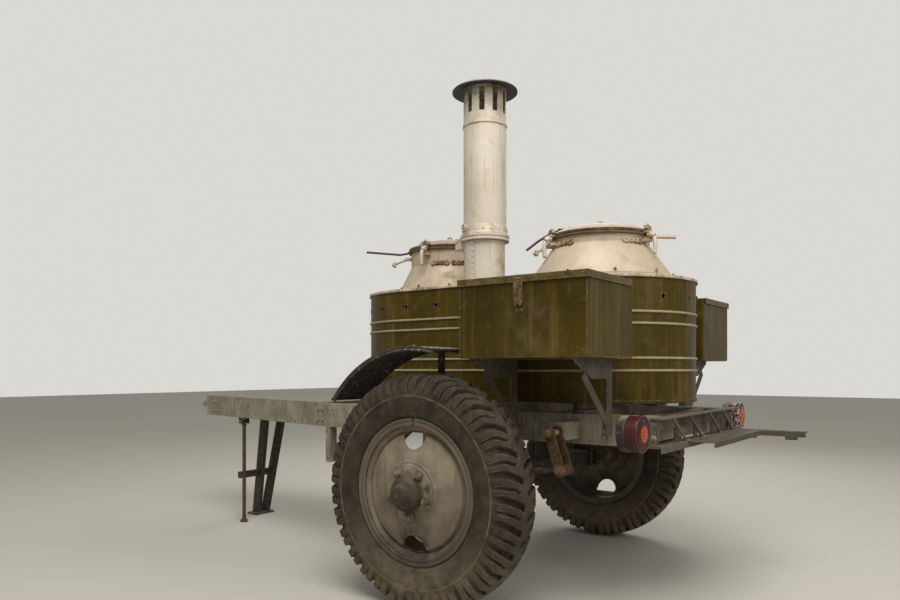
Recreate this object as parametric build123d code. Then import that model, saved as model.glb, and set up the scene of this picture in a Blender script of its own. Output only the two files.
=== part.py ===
from build123d import *
import math
import os

# Two-wheeled field kitchen trailer, at its real size, in millimetres.
# X runs forward to the towing eye, Y to the trailer's left and Z up from the ground.
# Lengths along X are counted from the axle here; every finished piece is moved back by
# middle_x, so that the origin lies on the ground midway between the eye and the foot plate.

# Wheels and axle
tyre_d = 930
tyre_w = 210
bead_seat_d = 524
rim_flange_d = 575
rim_w = 165
rim_wall = 6
disc_t = 8
disc_outset = 22
window_r = 57
track = 1620
hub_reach = 185
hub_r = 60
hub_nose_r = 27
hub_inner = 60
hub_back_r = 72
hub_flange_r = 118
stub_axle_d = 60
stub_axle_reach = 100
wheel_nut_count = 5
wheel_nut_pcd = 180
wheel_nut_r = 15
lug_count = 30
lug_gap_w = 22
lug_depth = 18
lug_slant = 24
axle_beam = 75
running_gap = 0.05
seat_gap = 0.3

# Casing and boilers
front_boiler_x = 490
rear_boiler_x = -370
casing_half_w = 415
casing_bottom = 805
casing_top = 1330
casing_t = 3
bead_heights = (939, 990, 1130, 1178)
bead_h = 12
bead_out = 5
vent_d = 20
vent_z = 1242
vent_count = 24
boiler_t = 4
flange_h = 20
foot_r = 19
foot_back = 90

# Frame
rail_gap = 13
rail_y = casing_half_w + rail_gap
rail_h = 120
rail_flange = 50
rail_t = 6
rail_top = 765
rail_rear = -800
rail_front = 980
beam_front = 2300
beam_front_y = 195
nose_t = 60
deck_t = 5
eye_bore_d = 76
eye_bar = 30
eye_h = 40
eye_shank = 165
eye_z = 705
post_drop = 185
post_w = 30
cross_places = (-720, -330, 230, 640, 930)
cross_flange = 40

# Leaf springs: half length of each leaf, from the long top leaf down
leaf_halves = (500, 430, 360, 290, 220, 150)
leaf_t = 8
leaf_w = 50
leaf_camber = 14
eye_out_r = 21
eye_in_r = 13
spring_y = rail_y + 172
clamp_t = 12
clamp_bolt_d = 14
hanger_tube = 70
ear_t = 8
ear_gap = 2
shackle_rise = 140
shackle_run = 45

# Mudguards: a curved sheet from low in front of the wheel to its top
guard_r = 533
guard_x = 8
guard_z = 502
guard_t = 4
guard_from = 36
guard_to = 103
guard_lip = 18
guard_strap_w = 32

# Rear beam, foot plate and lamps
rear_beam_half = rail_y + 82
rear_beam_d = 50
angle_t = 6
foot_plate_reach = 290
foot_plate_d = 105
foot_plate_end = 230
foot_plate_t = 4
arm_w = 42
lamp_y = rear_beam_half + 110
lamp_z = 715
lamp_r = 64
lamp_depth = 76
lamp_behind = 22

# Chimney
chimney_x = 64
chimney_y = 300
stub_r = 92
pipe_r = 98
pipe_t = 3
pipe_flange_r = 112
stub_flange_t = 14
chimney_joint_z = 1541
pipe_top = 2220
cap_r = 150
slot_count = 10
slot_w = 23
slot_h = 106
slot_turn = 8
sleeve_h = 54
pipe_bead_h = 20
chimney_pin_r = 7
chimney_pin_out = 20

# Boxes and their brackets
box_rear = -702
box_front = -167
box_depth = 400
box_bottom = 987
box_top = 1281
box_t = 4
box_wall_gap = 9
lid_h = 26
lid_t = 4
lid_play = 3
hinge_pin_r = 5
hinge_pin_out = 10
hinge_pin_up = 8
bracket_places = (-620, -190)
bracket_t = 6
bracket_w = 38
bracket_short = 80

# Fire doors: place of each door's middle, and on which side of it the hinge is
fire_doors = {"front": (330, 1), "rear": (-20, -1)}
door_w = 200
door_h = 98
door_low = 826
door_t = 6
door_cover = 12
door_pin_side = 14
door_pin_out = 13
fire_depth = 300
fire_t = 3

# Boilers: bowl radius, radius at the cone's foot, neck radius, foot of the neck, rim, bottom of the bowl
rear_boiler = (300, 320, 218, 1495, 1533, 985)
front_boiler = (250, 264, 203, 1475, 1553, 990)
dish_h = 110
lid_over = 8
lid_dome = 24
lid_rim_h = 16
clamp_out = 22
clamp_bolt_r = 6
lid_pin_out = 34
lid_pin_up = 4
lid_pin_r = 6
# turns, in degrees from forward to the left, of the closed clamps and of the loose bolt and handle
rear_clamps = (52, 172, 296)
front_clamps = (-26, 94, 214)
loose_bolt = 37
loose_reach = 315
rear_handle = 205

# Front stand and the thin leg beside it
stand_x = 1910
stand_pin_r = 16
stand_foot_x = 2045
stand_leg_w = 58
stand_leg_t = 26
stand_leg_y = (70, 34)
stand_bar_z = 277
stand_bar_y = 212
prop_x = 1905
prop_y = 240
prop_r = 11
prop_pin_r = 6

# Places that follow from these sizes
wheel_z = tyre_d / 2
wheel_y = track / 2
guard_y = (wheel_y - tyre_w / 2 - 15, wheel_y + tyre_w / 2 - 10)
spring_base = wheel_z + axle_beam / 2
spring_top = spring_base + leaf_t * len(leaf_halves)
spring_eye_z = spring_top + leaf_camber - leaf_t / 2
arc_r = leaf_halves[0] ** 2 / (2 * leaf_camber)
ear_in = spring_y - leaf_w / 2 - ear_gap
ear_out = spring_y + leaf_w / 2 + ear_gap
shackle_pin = (shackle_run - leaf_halves[0], spring_eye_z + shackle_rise)
rail_bottom = rail_top - rail_h
pin_tube_z = rail_bottom + 42
prop_pin_z = rail_bottom - 26
eye_r = eye_bore_d / 2 + eye_bar
nose_front = beam_front + nose_t
eye_x = nose_front + eye_shank + eye_bore_d / 2
lamp_face_x = rail_rear - lamp_behind
tail_x = rail_rear - rear_beam_d - foot_plate_reach
tip_x = eye_x + eye_r
middle_x = (tip_x + tail_x) / 2
casing_mid_x = (front_boiler_x + rear_boiler_x) / 2
casing_run = front_boiler_x - rear_boiler_x
box_in = casing_half_w + box_wall_gap
box_out = box_in + box_depth - box_wall_gap
bracket_reach = box_out - bracket_short
lid_pin_y = box_in + hinge_pin_out
box_pin_z = box_top + hinge_pin_up
door_pin_y = casing_half_w + door_pin_out
chimney_pin_x = pipe_flange_r + chimney_pin_out


def block(x, y, z):
    """A square block from pairs of limits along X, Y and Z."""
    middle = [(low + high) / 2 for low, high in (x, y, z)]
    return Pos(*middle) * Box(*[high - low for low, high in (x, y, z)])


def rod(radius, start, end):
    """A round rod from one point to another."""
    run = Vector(*end) - Vector(*start)
    return extrude(Plane(origin=start, z_dir=run) * Circle(radius), run.length)


def tube_z(outer, inner, low, high):
    """An upright ring about the Z axis."""
    ring = Circle(outer) - Circle(inner)
    return extrude(Plane.XY.offset(low) * ring, high - low)


def turned_z(points):
    """A solid turned about Z from corner points of radius and height."""
    return revolve(make_face(Plane.XZ * Polyline(*points, close=True)), Axis.Z)


def turned_y(points):
    """A solid turned about Y from corner points of place along Y and radius."""
    return revolve(make_face(Plane.YZ * Polyline(*points, close=True)), Axis.Y)


def slab(corners, low, high):
    """A flat plate from its corners in plan, between two heights."""
    return extrude(Plane.XY.offset(low) * Polygon(*corners, align=None), high - low, dir=(0, 0, 1))


def side_plate(corners, y0, y1):
    """A plate cut from its corners in side view, X and Z, between two places along Y."""
    face = make_face(Plane.XZ.offset(-y0) * Polyline(*corners, close=True))
    return extrude(face, y1 - y0, dir=(0, 1, 0))


def end_plate(corners, x0, x1):
    """A plate cut from its corners in end view, Y and Z, between two places along X."""
    face = make_face(Plane.YZ.offset(x0) * Polyline(*corners, close=True))
    return extrude(face, x1 - x0, dir=(1, 0, 0))


def other_side(piece):
    """The same piece on the trailer's right."""
    return mirror(piece, about=Plane.XZ)


def save(name, *pieces):
    """Write one named piece, moved to the finished origin."""
    solids = [Pos(-middle_x, 0, 0) * solid for piece in pieces for solid in piece.solids()]
    export_step(Compound(solids), f"parts/{name}.step")


# Running gear

def tyre_band(*sections):
    """A many-sided solid round the wheel's axis, through radii at places along Y."""
    faces = [Plane(origin=(0, y, 0), z_dir=(0, 1, 0)) * RegularPolygon(r, 2 * lug_count) for y, r in sections]
    return loft(faces, ruled=True)


def tyre():
    """The left tyre: a carcass of flat bands, with slanted gaps between its shoulder lugs."""
    foot = rim_w / 2 - rim_wall - 1
    flange_r = rim_flange_d / 2
    crown_r = tyre_d / 2
    half = tyre_w / 2
    shoulder = [(half, crown_r - 80), (half - 18, crown_r - 16), (half * 0.4, crown_r)]
    body = tyre_band(*[(-y, r) for y, r in shoulder], *reversed(shoulder))
    seat_r = (bead_seat_d / 2 + seat_gap) / math.cos(math.pi / (2 * lug_count))
    body -= tyre_band((-half - 1, seat_r), (half + 1, seat_r))
    gap_plan = [(10, crown_r + 4), (10, crown_r - lug_depth), (half + 8, crown_r - 58), (half + 8, crown_r + 4)]
    gaps = []
    for side in (-1, 1):
        body -= tyre_band((side * foot, flange_r), (side * (half + 1), flange_r + 50))
        middle = Pos(0, side * half * 0.6, 0)
        gap = end_plate([(side * (y - half * 0.6), z) for y, z in gap_plan], -lug_gap_w / 2, lug_gap_w / 2)
        slanted = middle * Rot(0, 0, -side * lug_slant) * gap
        for index in range(lug_count):
            gaps.append(Rot(0, 360 / lug_count * (index + 0.25 * (side + 1)), 0) * slanted)
    return Pos(0, wheel_y, wheel_z) * (body - gaps)


def wheel_disc():
    """The left wheel: rim, dished disc with two windows, hub with its long nose and the nuts."""
    half = rim_w / 2
    seat_r = bead_seat_d / 2
    well_r = seat_r - rim_wall
    flange_r = rim_flange_d / 2
    rim = turned_y([(-half, flange_r), (-half, well_r), (half, well_r), (half, flange_r),
                    (half - rim_wall, flange_r), (half - rim_wall, seat_r),
                    (rim_wall - half, seat_r), (rim_wall - half, flange_r)])
    face = half + disc_outset
    disc = turned_y([(20, well_r + 1), (half - 26, 238), (half - 10, 226),
                     (face - 4, 128), (face, 122), (face, hub_r - 10),
                     (face - disc_t, hub_r - 10), (face - disc_t, 124), (half - 10 - disc_t, 224),
                     (half - 26 - disc_t, 232), (20 - disc_t, well_r + 1)])
    window = Pos(0, face, 224) * Rot(90, 0, 0) * extrude(Circle(window_r), 60, both=True)
    window = window & block((-60, 60), (0, face + 60), (160, 232))
    for angle in (0, 180):
        disc -= Rot(0, angle, 0) * window
    hub = turned_y([(-hub_inner, 0), (-hub_inner, hub_back_r), (face - disc_t - 12, hub_back_r),
                    (face - disc_t - 12, hub_flange_r),
                    (face - disc_t + 1, hub_flange_r), (face - disc_t + 1, hub_r), (128, hub_r), (142, hub_r - 8),
                    (150, hub_r - 22), (152, hub_nose_r), (172, hub_nose_r - 2), (181, hub_nose_r - 10),
                    (hub_reach, 6), (hub_reach, 0)])
    bore = turned_y([(-hub_inner - 1, 0), (-hub_inner - 1, stub_axle_d / 2 + running_gap),
                     (stub_axle_reach + 10, stub_axle_d / 2 + running_gap), (stub_axle_reach + 10, 0)])
    wheel = rim + disc + hub - bore
    for index in range(wheel_nut_count):
        angle = 360 / wheel_nut_count * (index + 0.5)
        nut = Pos(0, face - 2, wheel_nut_pcd / 2) * Rot(-90, 0, 0) * extrude(RegularPolygon(wheel_nut_r, 6), 22)
        wheel += Rot(0, angle, 0) * nut
    return Pos(0, wheel_y, wheel_z) * wheel


def axle():
    """Square axle beam with the two stub axles that carry the wheels."""
    half = axle_beam / 2
    beam_end = wheel_y - hub_inner - 25
    beam = block((-half, half), (-beam_end, beam_end), (wheel_z - half, wheel_z + half))
    beam = fillet(beam.edges().filter_by(Axis.Y), 8)
    for side in (-1, 1):
        collar_end = side * (wheel_y - hub_inner - 6)
        beam += rod(45, (0, side * (beam_end - 1), wheel_z), (0, collar_end, wheel_z))
        tip = side * (wheel_y + stub_axle_reach)
        beam += rod(stub_axle_d / 2, (0, side * (beam_end - 1), wheel_z), (0, tip, wheel_z))
    return beam


def leaf_face(half, top_r):
    """One curved leaf in side view, its upper face at radius top_r from a centre high above."""
    low_r = top_r + leaf_t
    reach = half / low_r
    up = [(radius * math.sin(turn), -radius * math.cos(turn))
          for radius in (top_r, low_r) for turn in (-reach, 0, reach)]
    edge = ThreePointArc(up[0], up[1], up[2]) + Line(up[2], up[5])
    edge += ThreePointArc(up[5], up[4], up[3]) + Line(up[3], up[0])
    return make_face(edge)


def leaf_spring():
    """The left leaf spring: six leaves and an eye at each end."""
    stack = leaf_face(leaf_halves[0], arc_r)
    for index, half in enumerate(leaf_halves[1:], start=1):
        stack += leaf_face(half, arc_r + leaf_t * index)
    lifted = Plane(origin=(0, spring_y - leaf_w / 2, spring_top + arc_r), x_dir=(1, 0, 0),
                   z_dir=(0, -1, 0))
    spring = extrude(lifted * stack, -leaf_w)
    y0 = spring_y - leaf_w / 2
    y1 = spring_y + leaf_w / 2
    for x in (-leaf_halves[0], leaf_halves[0]):
        spring += rod(eye_out_r, (x, y0, spring_eye_z), (x, y1, spring_eye_z))
    for x in (-leaf_halves[0], leaf_halves[0]):
        spring -= rod(eye_in_r, (x, y0 - 1, spring_eye_z), (x, y1 + 1, spring_eye_z))
    return spring


def axle_clamp():
    """The left clamp that holds spring and axle together: two plates and four bolts."""
    half = axle_beam / 2
    bolt_x = half + 12
    bolt_y = leaf_w / 2 + 12
    x = (-bolt_x - 14, bolt_x + 14)
    y = (spring_y - bolt_y - 12, spring_y + bolt_y + 12)
    bottom = wheel_z - half
    plate = spring_top + seat_gap
    clamp = block(x, y, (plate, plate + clamp_t)) + block(x, y, (bottom - clamp_t, bottom))
    for side_x in (-bolt_x, bolt_x):
        for side_y in (-bolt_y, bolt_y):
            clamp += rod(clamp_bolt_d / 2, (side_x, spring_y + side_y, bottom - 24),
                         (side_x, spring_y + side_y, spring_top + 26))
    return clamp


def spring_hangers():
    """Left arms out of the side rail: the front one holds the spring's eye, the rear one a pin."""
    top = rail_bottom + 94
    end_y = ear_out + ear_t
    hanger_x = leaf_halves[0]
    front_x = (hanger_x - hanger_tube / 2, hanger_x + hanger_tube / 2)
    front = block(front_x, (rail_y, end_y), (top - hanger_tube, top))
    for y in (ear_in - ear_t, ear_out):
        ear = side_plate([(hanger_x - 30, top - hanger_tube + 1), (hanger_x + 30, top - hanger_tube + 1),
                          (hanger_x + 20, spring_eye_z - 22), (hanger_x - 20, spring_eye_z - 22)],
                         y, y + ear_t)
        front += ear
    front += rod(eye_in_r - seat_gap, (hanger_x, ear_in - 4, spring_eye_z),
                 (hanger_x, ear_out + ear_t + 12, spring_eye_z))
    x, z = shackle_pin
    arm_end = ear_in - ear_t - ear_gap
    rear = block((x - 30, x + 40), (rail_y, arm_end), (top - hanger_tube, top))
    rear += rod(12, (x, arm_end - 5, z), (x, ear_out + ear_t + 14, z))
    return front, rear


def shackle():
    """Left rear shackle: two links from the arm's pin down to the spring's rear eye."""
    x0, z0 = -leaf_halves[0], spring_eye_z
    x1, z1 = shackle_pin
    links = None
    for y in (ear_in - ear_t, ear_out):
        link = rod(24, (x0, y, z0), (x0, y + ear_t, z0)) + rod(24, (x1, y, z1), (x1, y + ear_t, z1))
        link += side_plate([(x0 - 22, z0), (x1 - 22, z1), (x1 + 22, z1), (x0 + 22, z0)], y, y + ear_t)
        links = link if links is None else links + link
    links += rod(eye_in_r - seat_gap, (x0, ear_in - 4, z0), (x0, ear_out + ear_t + 12, z0))
    return links - rod(12 + seat_gap, (x1, ear_in - 20, z1), (x1, ear_out + 40, z1))


# Mudguard: a curved sheet over the front of the wheel that runs on under the box


def guard_band(outer, inner, y0, y1):
    """A band of the mudguard's arc between two radii."""
    ends = [math.radians(turn) for turn in (guard_from, (guard_from + guard_to) / 2, guard_to)]
    pts = [[(guard_x + radius * math.cos(turn), guard_z + radius * math.sin(turn)) for turn in ends]
           for radius in (outer, inner)]
    edge = ThreePointArc(*pts[0]) + Line(pts[0][2], pts[1][2])
    edge += ThreePointArc(*reversed(pts[1])) + Line(pts[1][0], pts[0][0])
    return extrude(make_face(Plane.XZ.offset(-y0) * edge), y1 - y0, dir=(0, 1, 0))


def mudguard():
    """The left mudguard with rolled edges and the strap that carries it from the side rail."""
    y0, y1 = guard_y
    sheet = guard_band(guard_r, guard_r - guard_t, y0, y1)
    sheet += guard_band(guard_r, guard_r - guard_lip, y1 - guard_t, y1)
    sheet += guard_band(guard_r, guard_r - guard_lip, y0, y0 + guard_t)
    strap_x = guard_x + 10
    top = guard_z + guard_r - guard_t + 1
    strap = (strap_x - guard_strap_w / 2, strap_x + guard_strap_w / 2)
    sheet += block(strap, (y0 - 6, y0 + 1), (rail_top - 60, top))
    sheet += block(strap, (rail_y, y0 + 1), (rail_top - 60, rail_top - 54))
    sheet += end_plate([(rail_y, rail_top - 57), (rail_y, rail_bottom + 10), (rail_y + 60, rail_top - 57)],
                       strap_x - 3, strap_x + 3)
    return sheet


# Frame

def channel(x0, y0, x1, y1):
    """A channel on edge between two places in plan, its open side inward."""
    def strip(width, low, high):
        return slab([(x0, y0), (x1, y1), (x1, y1 - width), (x0, y0 - width)], low, high)
    web = strip(rail_t, rail_bottom, rail_top)
    foot = strip(rail_flange, rail_bottom, rail_bottom + rail_t)
    return web + foot + strip(rail_flange, rail_top - rail_t, rail_top)


def side_rail():
    """The left side rail, with the post that hangs under its front end."""
    post = block((rail_front - post_w, rail_front), (rail_y - rail_flange, rail_y),
                 (rail_bottom - post_drop, rail_bottom + rail_t))
    return channel(rail_rear, rail_y, rail_front, rail_y) + post


def cross_members():
    """Five channels between the side rails."""
    reach = rail_y - rail_t
    low, high = rail_bottom + rail_t, rail_top - rail_t
    members = []
    for x in cross_places:
        member = block((x, x + rail_t), (-reach, reach), (low, high))
        member += block((x, x + cross_flange), (-reach, reach), (low, low + rail_t))
        member += block((x, x + cross_flange), (-reach, reach), (high - rail_t, high))
        members.append(member)
    return members


def beam_y(x):
    """Outer face of the drawbar beam at a place along X."""
    share = (x - rail_front) / (beam_front - rail_front)
    return rail_y + share * (beam_front_y - rail_y)


def drawbar_nose():
    """Cross piece at the front of the beams, with the shank and the towing eye."""
    nose = block((beam_front, nose_front), (-beam_front_y, beam_front_y), (rail_bottom, rail_top))
    nose = fillet(nose.edges().filter_by(Axis.Z), 12)
    nose += rod(45, (nose_front - 1, 0, eye_z), (nose_front + 14, 0, eye_z))
    nose += rod(22, (nose_front, 0, eye_z), (eye_x - eye_r + 8, 0, eye_z))
    ring = Pos(eye_x, 0, eye_z) * Cylinder(eye_r, eye_h)
    ring = fillet(ring.edges(), 11)
    nose += ring
    return nose - Pos(eye_x, 0, eye_z) * Cylinder(eye_bore_d / 2, eye_h + 2)


def drawbar_deck():
    """Plate on top of the drawbar beams, turned down along its front edge."""
    x0 = rail_front + 60
    x1 = nose_front
    y0, y1 = beam_y(x0), beam_y(beam_front)
    corners = [(x0, -y0), (beam_front, -y1), (x1, -y1), (x1, y1), (beam_front, y1), (x0, y0)]
    return slab(corners, rail_top, rail_top + deck_t)


def stand_tube():
    """Cross tube between the beams that the stand turns on."""
    reach = beam_y(stand_x + stand_pin_r) - rail_t - seat_gap
    return rod(stand_pin_r, (stand_x, -reach, pin_tube_z), (stand_x, reach, pin_tube_z))


def front_stand():
    """Two wide legs that run together at a foot, their eyes on the cross tube, and a cross bar."""
    lean = (stand_foot_x - stand_x) / pin_tube_z
    stand = None
    for side in (-1, 1):
        eye = rod(stand_pin_r + 12, (stand_x, side * (stand_leg_y[0] - 15), pin_tube_z),
                  (stand_x, side * (stand_leg_y[0] + 15), pin_tube_z))
        top = Plane(origin=(stand_x, side * stand_leg_y[0], pin_tube_z))
        foot = Plane(origin=(stand_foot_x, side * stand_leg_y[1], 0))
        section = Rectangle(stand_leg_w, stand_leg_t)
        leg = loft([foot * section, top * section])
        stand = leg + eye if stand is None else stand + leg + eye
    bar_x = stand_x + lean * (pin_tube_z - stand_bar_z)
    stand += block((bar_x - 14, bar_x + 14), (-stand_leg_y[0], stand_bar_y),
                   (stand_bar_z - 20, stand_bar_z + 20))
    foot_half = stand_leg_y[1] + 40
    stand += block((stand_foot_x - 45, stand_foot_x + 45), (-foot_half, foot_half), (0, 10))
    bore = rod(stand_pin_r + running_gap, (stand_x, -200, pin_tube_z), (stand_x, 200, pin_tube_z))
    return stand - bore


def prop_bracket():
    """Fork under the left beam with the pin that carries the thin leg."""
    fork = block((prop_x - 22, prop_x + 22), (prop_y - 26, prop_y + 26), (rail_bottom - 8, rail_bottom))
    for y in (prop_y - 26, prop_y + 20):
        fork += block((prop_x - 18, prop_x + 18), (y, y + 6), (prop_pin_z - 12, rail_bottom - 7))
    return fork + rod(prop_pin_r, (prop_x, prop_y - 24, prop_pin_z), (prop_x, prop_y + 30, prop_pin_z))


def prop_leg():
    """The thin leg beside the stand, with its foot."""
    leg = rod(prop_r, (prop_x, prop_y, 4), (prop_x, prop_y, prop_pin_z - 8))
    leg += rod(prop_r + 3, (prop_x, prop_y - 14, prop_pin_z), (prop_x, prop_y + 14, prop_pin_z))
    leg += rod(24, (prop_x, prop_y, 0), (prop_x, prop_y, 8))
    return leg - rod(prop_pin_r + running_gap, (prop_x, prop_y - 20, prop_pin_z), (prop_x, prop_y + 20, prop_pin_z))


def strut(y0, z0, y1, z1, width, x0, x1):
    """A flat bar in end view from one point to another."""
    run = math.hypot(y1 - y0, z1 - z0)
    dy, dz = (y1 - y0) / run * width / 2, (z1 - z0) / run * width / 2
    return end_plate([(y0 - dz, z0 + dy), (y1 - dz, z1 + dy), (y1 + dz, z1 - dy), (y0 + dz, z0 - dy)], x0, x1)


def rear_beam():
    """Open beam across the rear: two angles, five posts, four thin stays and the lamp arms."""
    x0, x1 = rail_rear - rear_beam_d, rail_rear
    half = rear_beam_half
    top, low = rail_top, rail_bottom + 14
    beam = block((x0, x1), (-half, half), (top - angle_t, top))
    beam += block((x1 - angle_t, x1), (-half, half), (top - 50, top))
    beam += block((x0, x1), (-half, half), (low, low + angle_t))
    beam += block((x0, x0 + angle_t), (-half, half), (low - 22, low + angle_t))
    for y in (-half + 20, -230, 0, 230, half - 20):
        beam += block((x1 - angle_t, x1), (y - 20, y + 20), (low + 1, top - 40))
    for y in (-330, -140, 110, 300):
        beam += strut(y + 90, top - 3, y - 70, low + 3, 10, x0 + 1, x0 + 7)
    for side in (-1, 1):
        inner, outer = sorted((side * (half - 6), side * half))
        beam += block((x1 - angle_t, lamp_face_x + lamp_depth + 6), (inner, outer), (lamp_z - 30, lamp_z + 40))
        inner, outer = sorted((side * (half - 6), side * (lamp_y + 30)))
        back = lamp_face_x + lamp_depth
        beam += block((back, back + 6), (inner, outer), (lamp_z - 25, lamp_z + 25))
    return beam


def rear_step():
    """Narrow foot plate behind the rear beam, and the long arm at its right end with two cleats."""
    z = rail_bottom + 14
    x1 = rail_rear - rear_beam_d
    x0 = x1 - foot_plate_d
    wide = (-rear_beam_half, foot_plate_end)
    step = block((x0, x1), wide, (z, z + foot_plate_t))
    step += block((x0, x0 + foot_plate_t), wide, (z - 18, z + foot_plate_t))
    arm_y = (-rear_beam_half, arm_w - rear_beam_half)
    step += block((tail_x, x1), arm_y, (z, z + 5))
    step += block((tail_x, x1), (arm_y[1] - 5, arm_y[1]), (z - 20, z + 5))
    for x in (tail_x + 40, tail_x + 215):
        step += block((x, x + 45), arm_y, (z - 34, z + 1))
    return step


def tail_lamp():
    """The left tail lamp: round housing, domed lens and rim."""
    housing = turned_z([(0, 0), (lamp_r - 8, 0), (lamp_r - 4, 6), (lamp_r, 30), (lamp_r, 62),
                        (lamp_r + 2, 62), (lamp_r + 2, 72), (lamp_r - 6, 72), (0, lamp_depth)])
    return Pos(lamp_face_x + lamp_depth, lamp_y, lamp_z) * Rot(0, -90, 0) * housing


def casing_feet():
    """Six round spacers between the side rails and the casing's floor."""
    feet = []
    for x in (rear_boiler_x - foot_back, casing_mid_x, front_boiler_x):
        for side in (-1, 1):
            y = side * (rail_y - rail_flange / 2)
            foot = rod(foot_r, (x, y, rail_top), (x, y, casing_bottom))
            foot += rod(foot_r + 5, (x, y, rail_top), (x, y, rail_top + 8))
            feet.append(foot)
    return feet


# Casing


def oblong(half_width, low, high):
    """A block with the casing's round-ended plan."""
    return extrude(Pos(casing_mid_x, 0, low) * SlotCenterToCenter(casing_run, 2 * half_width), high - low)


def around_casing(share):
    """Place on the casing's wall and the outward turn there, at a share of the way round."""
    arc = math.pi * casing_half_w
    way = share * 2 * (casing_run + arc)
    if way < casing_run:
        return rear_boiler_x + way, casing_half_w, 90
    way -= casing_run
    if way < arc:
        turn = 90 - 180 * way / arc
        x = front_boiler_x + casing_half_w * math.cos(math.radians(turn))
        return x, casing_half_w * math.sin(math.radians(turn)), turn
    way -= arc
    if way < casing_run:
        return front_boiler_x - way, -casing_half_w, -90
    turn = -90 - 180 * (way - casing_run) / arc
    x = rear_boiler_x + casing_half_w * math.cos(math.radians(turn))
    return x, casing_half_w * math.sin(math.radians(turn)), turn


def fire_mouth(x):
    """The space of one fire mouth, through the casing's right wall."""
    half = door_w / 2 - door_cover
    return block((x - half, x + half), (-casing_half_w - 20, -casing_half_w + 60),
                 (door_low + door_cover, door_low + door_h - door_cover))


def casing():
    """The casing: wall with four beads, rolled rim, floor, vent holes and two fire mouths."""
    shell = oblong(casing_half_w, casing_bottom, casing_top)
    for z in bead_heights:
        bead = oblong(casing_half_w + bead_out, z - bead_h / 2, z + bead_h / 2)
        shell += chamfer(bead.edges().group_by(Axis.Z)[0] + bead.edges().group_by(Axis.Z)[-1], 4)
    shell += oblong(casing_half_w + 4, casing_bottom, casing_bottom + 12)
    rim = oblong(casing_half_w + 8, casing_top - 16, casing_top)
    shell += fillet(rim.edges().group_by(Axis.Z)[0] + rim.edges().group_by(Axis.Z)[-1], 5)
    shell -= oblong(casing_half_w - casing_t, casing_bottom + casing_t, casing_top + 1)
    for index in range(vent_count):
        x, y, turn = around_casing((index + 0.5) / vent_count)
        shell -= Pos(x, y, vent_z) * Rot(0, 90, turn) * Cylinder(vent_d / 2, 40)
    for x, side in fire_doors.values():
        shell -= fire_mouth(x)
    return shell


def casing_deck():
    """Top plate of the casing, with the holes for both boilers and the chimney."""
    deck = oblong(casing_half_w - casing_t, casing_top - casing_t, casing_top)
    for x, (bowl_r, *rest) in ((rear_boiler_x, rear_boiler), (front_boiler_x, front_boiler)):
        deck -= Pos(x, 0, casing_top) * Cylinder(bowl_r + seat_gap, 20)
    return deck - Pos(chimney_x, chimney_y, casing_top) * Cylinder(stub_r - pipe_t, 20)


def firebox(x):
    """A fire chamber behind one mouth, open towards the door."""
    half = door_w / 2 - 4
    low, high = casing_bottom + casing_t, door_low + door_h + 4
    y0 = -casing_half_w + casing_t
    box = block((x - half, x + half), (y0, y0 + fire_depth), (low, high))
    return box - block((x - half + fire_t, x + half - fire_t), (y0 - 1, y0 + fire_depth - fire_t),
                       (low + fire_t, high - fire_t))


# Fire doors hang on an upright rod held by two ears on a strap beside the mouth


def door_hinge(name):
    """The rod and ears of one fire door, on a strap that lies on the casing's wall."""
    x, side = fire_doors[name]
    pin_x = x + side * (door_w / 2 + door_pin_side)
    strap = block((pin_x - 12, pin_x + 12), (-casing_half_w - 4, -casing_half_w),
                  (door_low - 2, door_low + door_h + 2))
    for z in (door_low - 2, door_low + door_h / 2 - 7, door_low + door_h - 12):
        strap += block((pin_x - 9, pin_x + 9), (-door_pin_y - 8, -casing_half_w), (z, z + 14))
    return strap + rod(hinge_pin_r, (pin_x, -door_pin_y, door_low), (pin_x, -door_pin_y, door_low + door_h))


def fire_door(name):
    """One fire door with a raised panel, a latch handle and two knuckles round the rod."""
    x, side = fire_doors[name]
    pin_x = x + side * (door_w / 2 + door_pin_side)
    y1 = -casing_half_w - seat_gap
    half = door_w / 2
    door = block((x - half, x + half), (y1 - door_t, y1), (door_low, door_low + door_h))
    door = chamfer(door.edges().filter_by(Axis.Y), 8)
    door += block((x - half + 26, x + half - 26), (y1 - door_t - 5, y1 - door_t + 1),
                  (door_low + 20, door_low + door_h - 20))
    grip_x = x - side * (half - 16)
    door += block((grip_x - 9, grip_x + 9), (y1 - door_t - 16, y1 - door_t + 1), (door_low + 34, door_low + 64))
    grip_z = door_low + 49
    door += rod(6, (grip_x, y1 - door_t - 12, grip_z), (grip_x - side * 34, y1 - door_t - 24, grip_z))
    for z in (door_low + 13.5, door_low + door_h / 2 + 8):
        inner, outer = sorted((x + side * (half - 6), pin_x))
        door += block((inner, outer), (y1 - door_t - 6, y1 - door_t + 1), (z, z + 26))
        door += Pos(pin_x, -door_pin_y, z + 13) * Cylinder(hinge_pin_r + 4, 26)
    return door - rod(hinge_pin_r + running_gap, (pin_x, -door_pin_y, door_low - 5),
                      (pin_x, -door_pin_y, door_low + door_h + 5))


def bowl_outline(bowl_r, floor_z, corners):
    """Half outline of a bowl: dished bottom, then straight lines through the corners."""
    side = (bowl_r, floor_z + dish_h)
    dish = ThreePointArc((0, floor_z), (bowl_r * 0.62, floor_z + dish_h * 0.26), side)
    return make_face(Plane.XZ * (dish + Polyline(side, *corners, (0, floor_z))))


def lid_hinge_ears(neck_r, rim_z):
    """Two ears at the right of the neck with the rod that a lid turns on."""
    y = -neck_r - lid_pin_out
    z = rim_z + lid_pin_up
    ears = rod(lid_pin_r, (-54, y, z), (54, y, z))
    for x in (-52, 40):
        ears += block((x, x + 12), (y - 10, 12 - neck_r), (rim_z - 36, rim_z - 10))
        ears += block((x, x + 12), (y - 10, y + 14), (rim_z - 11, z + 7))
    return ears


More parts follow.
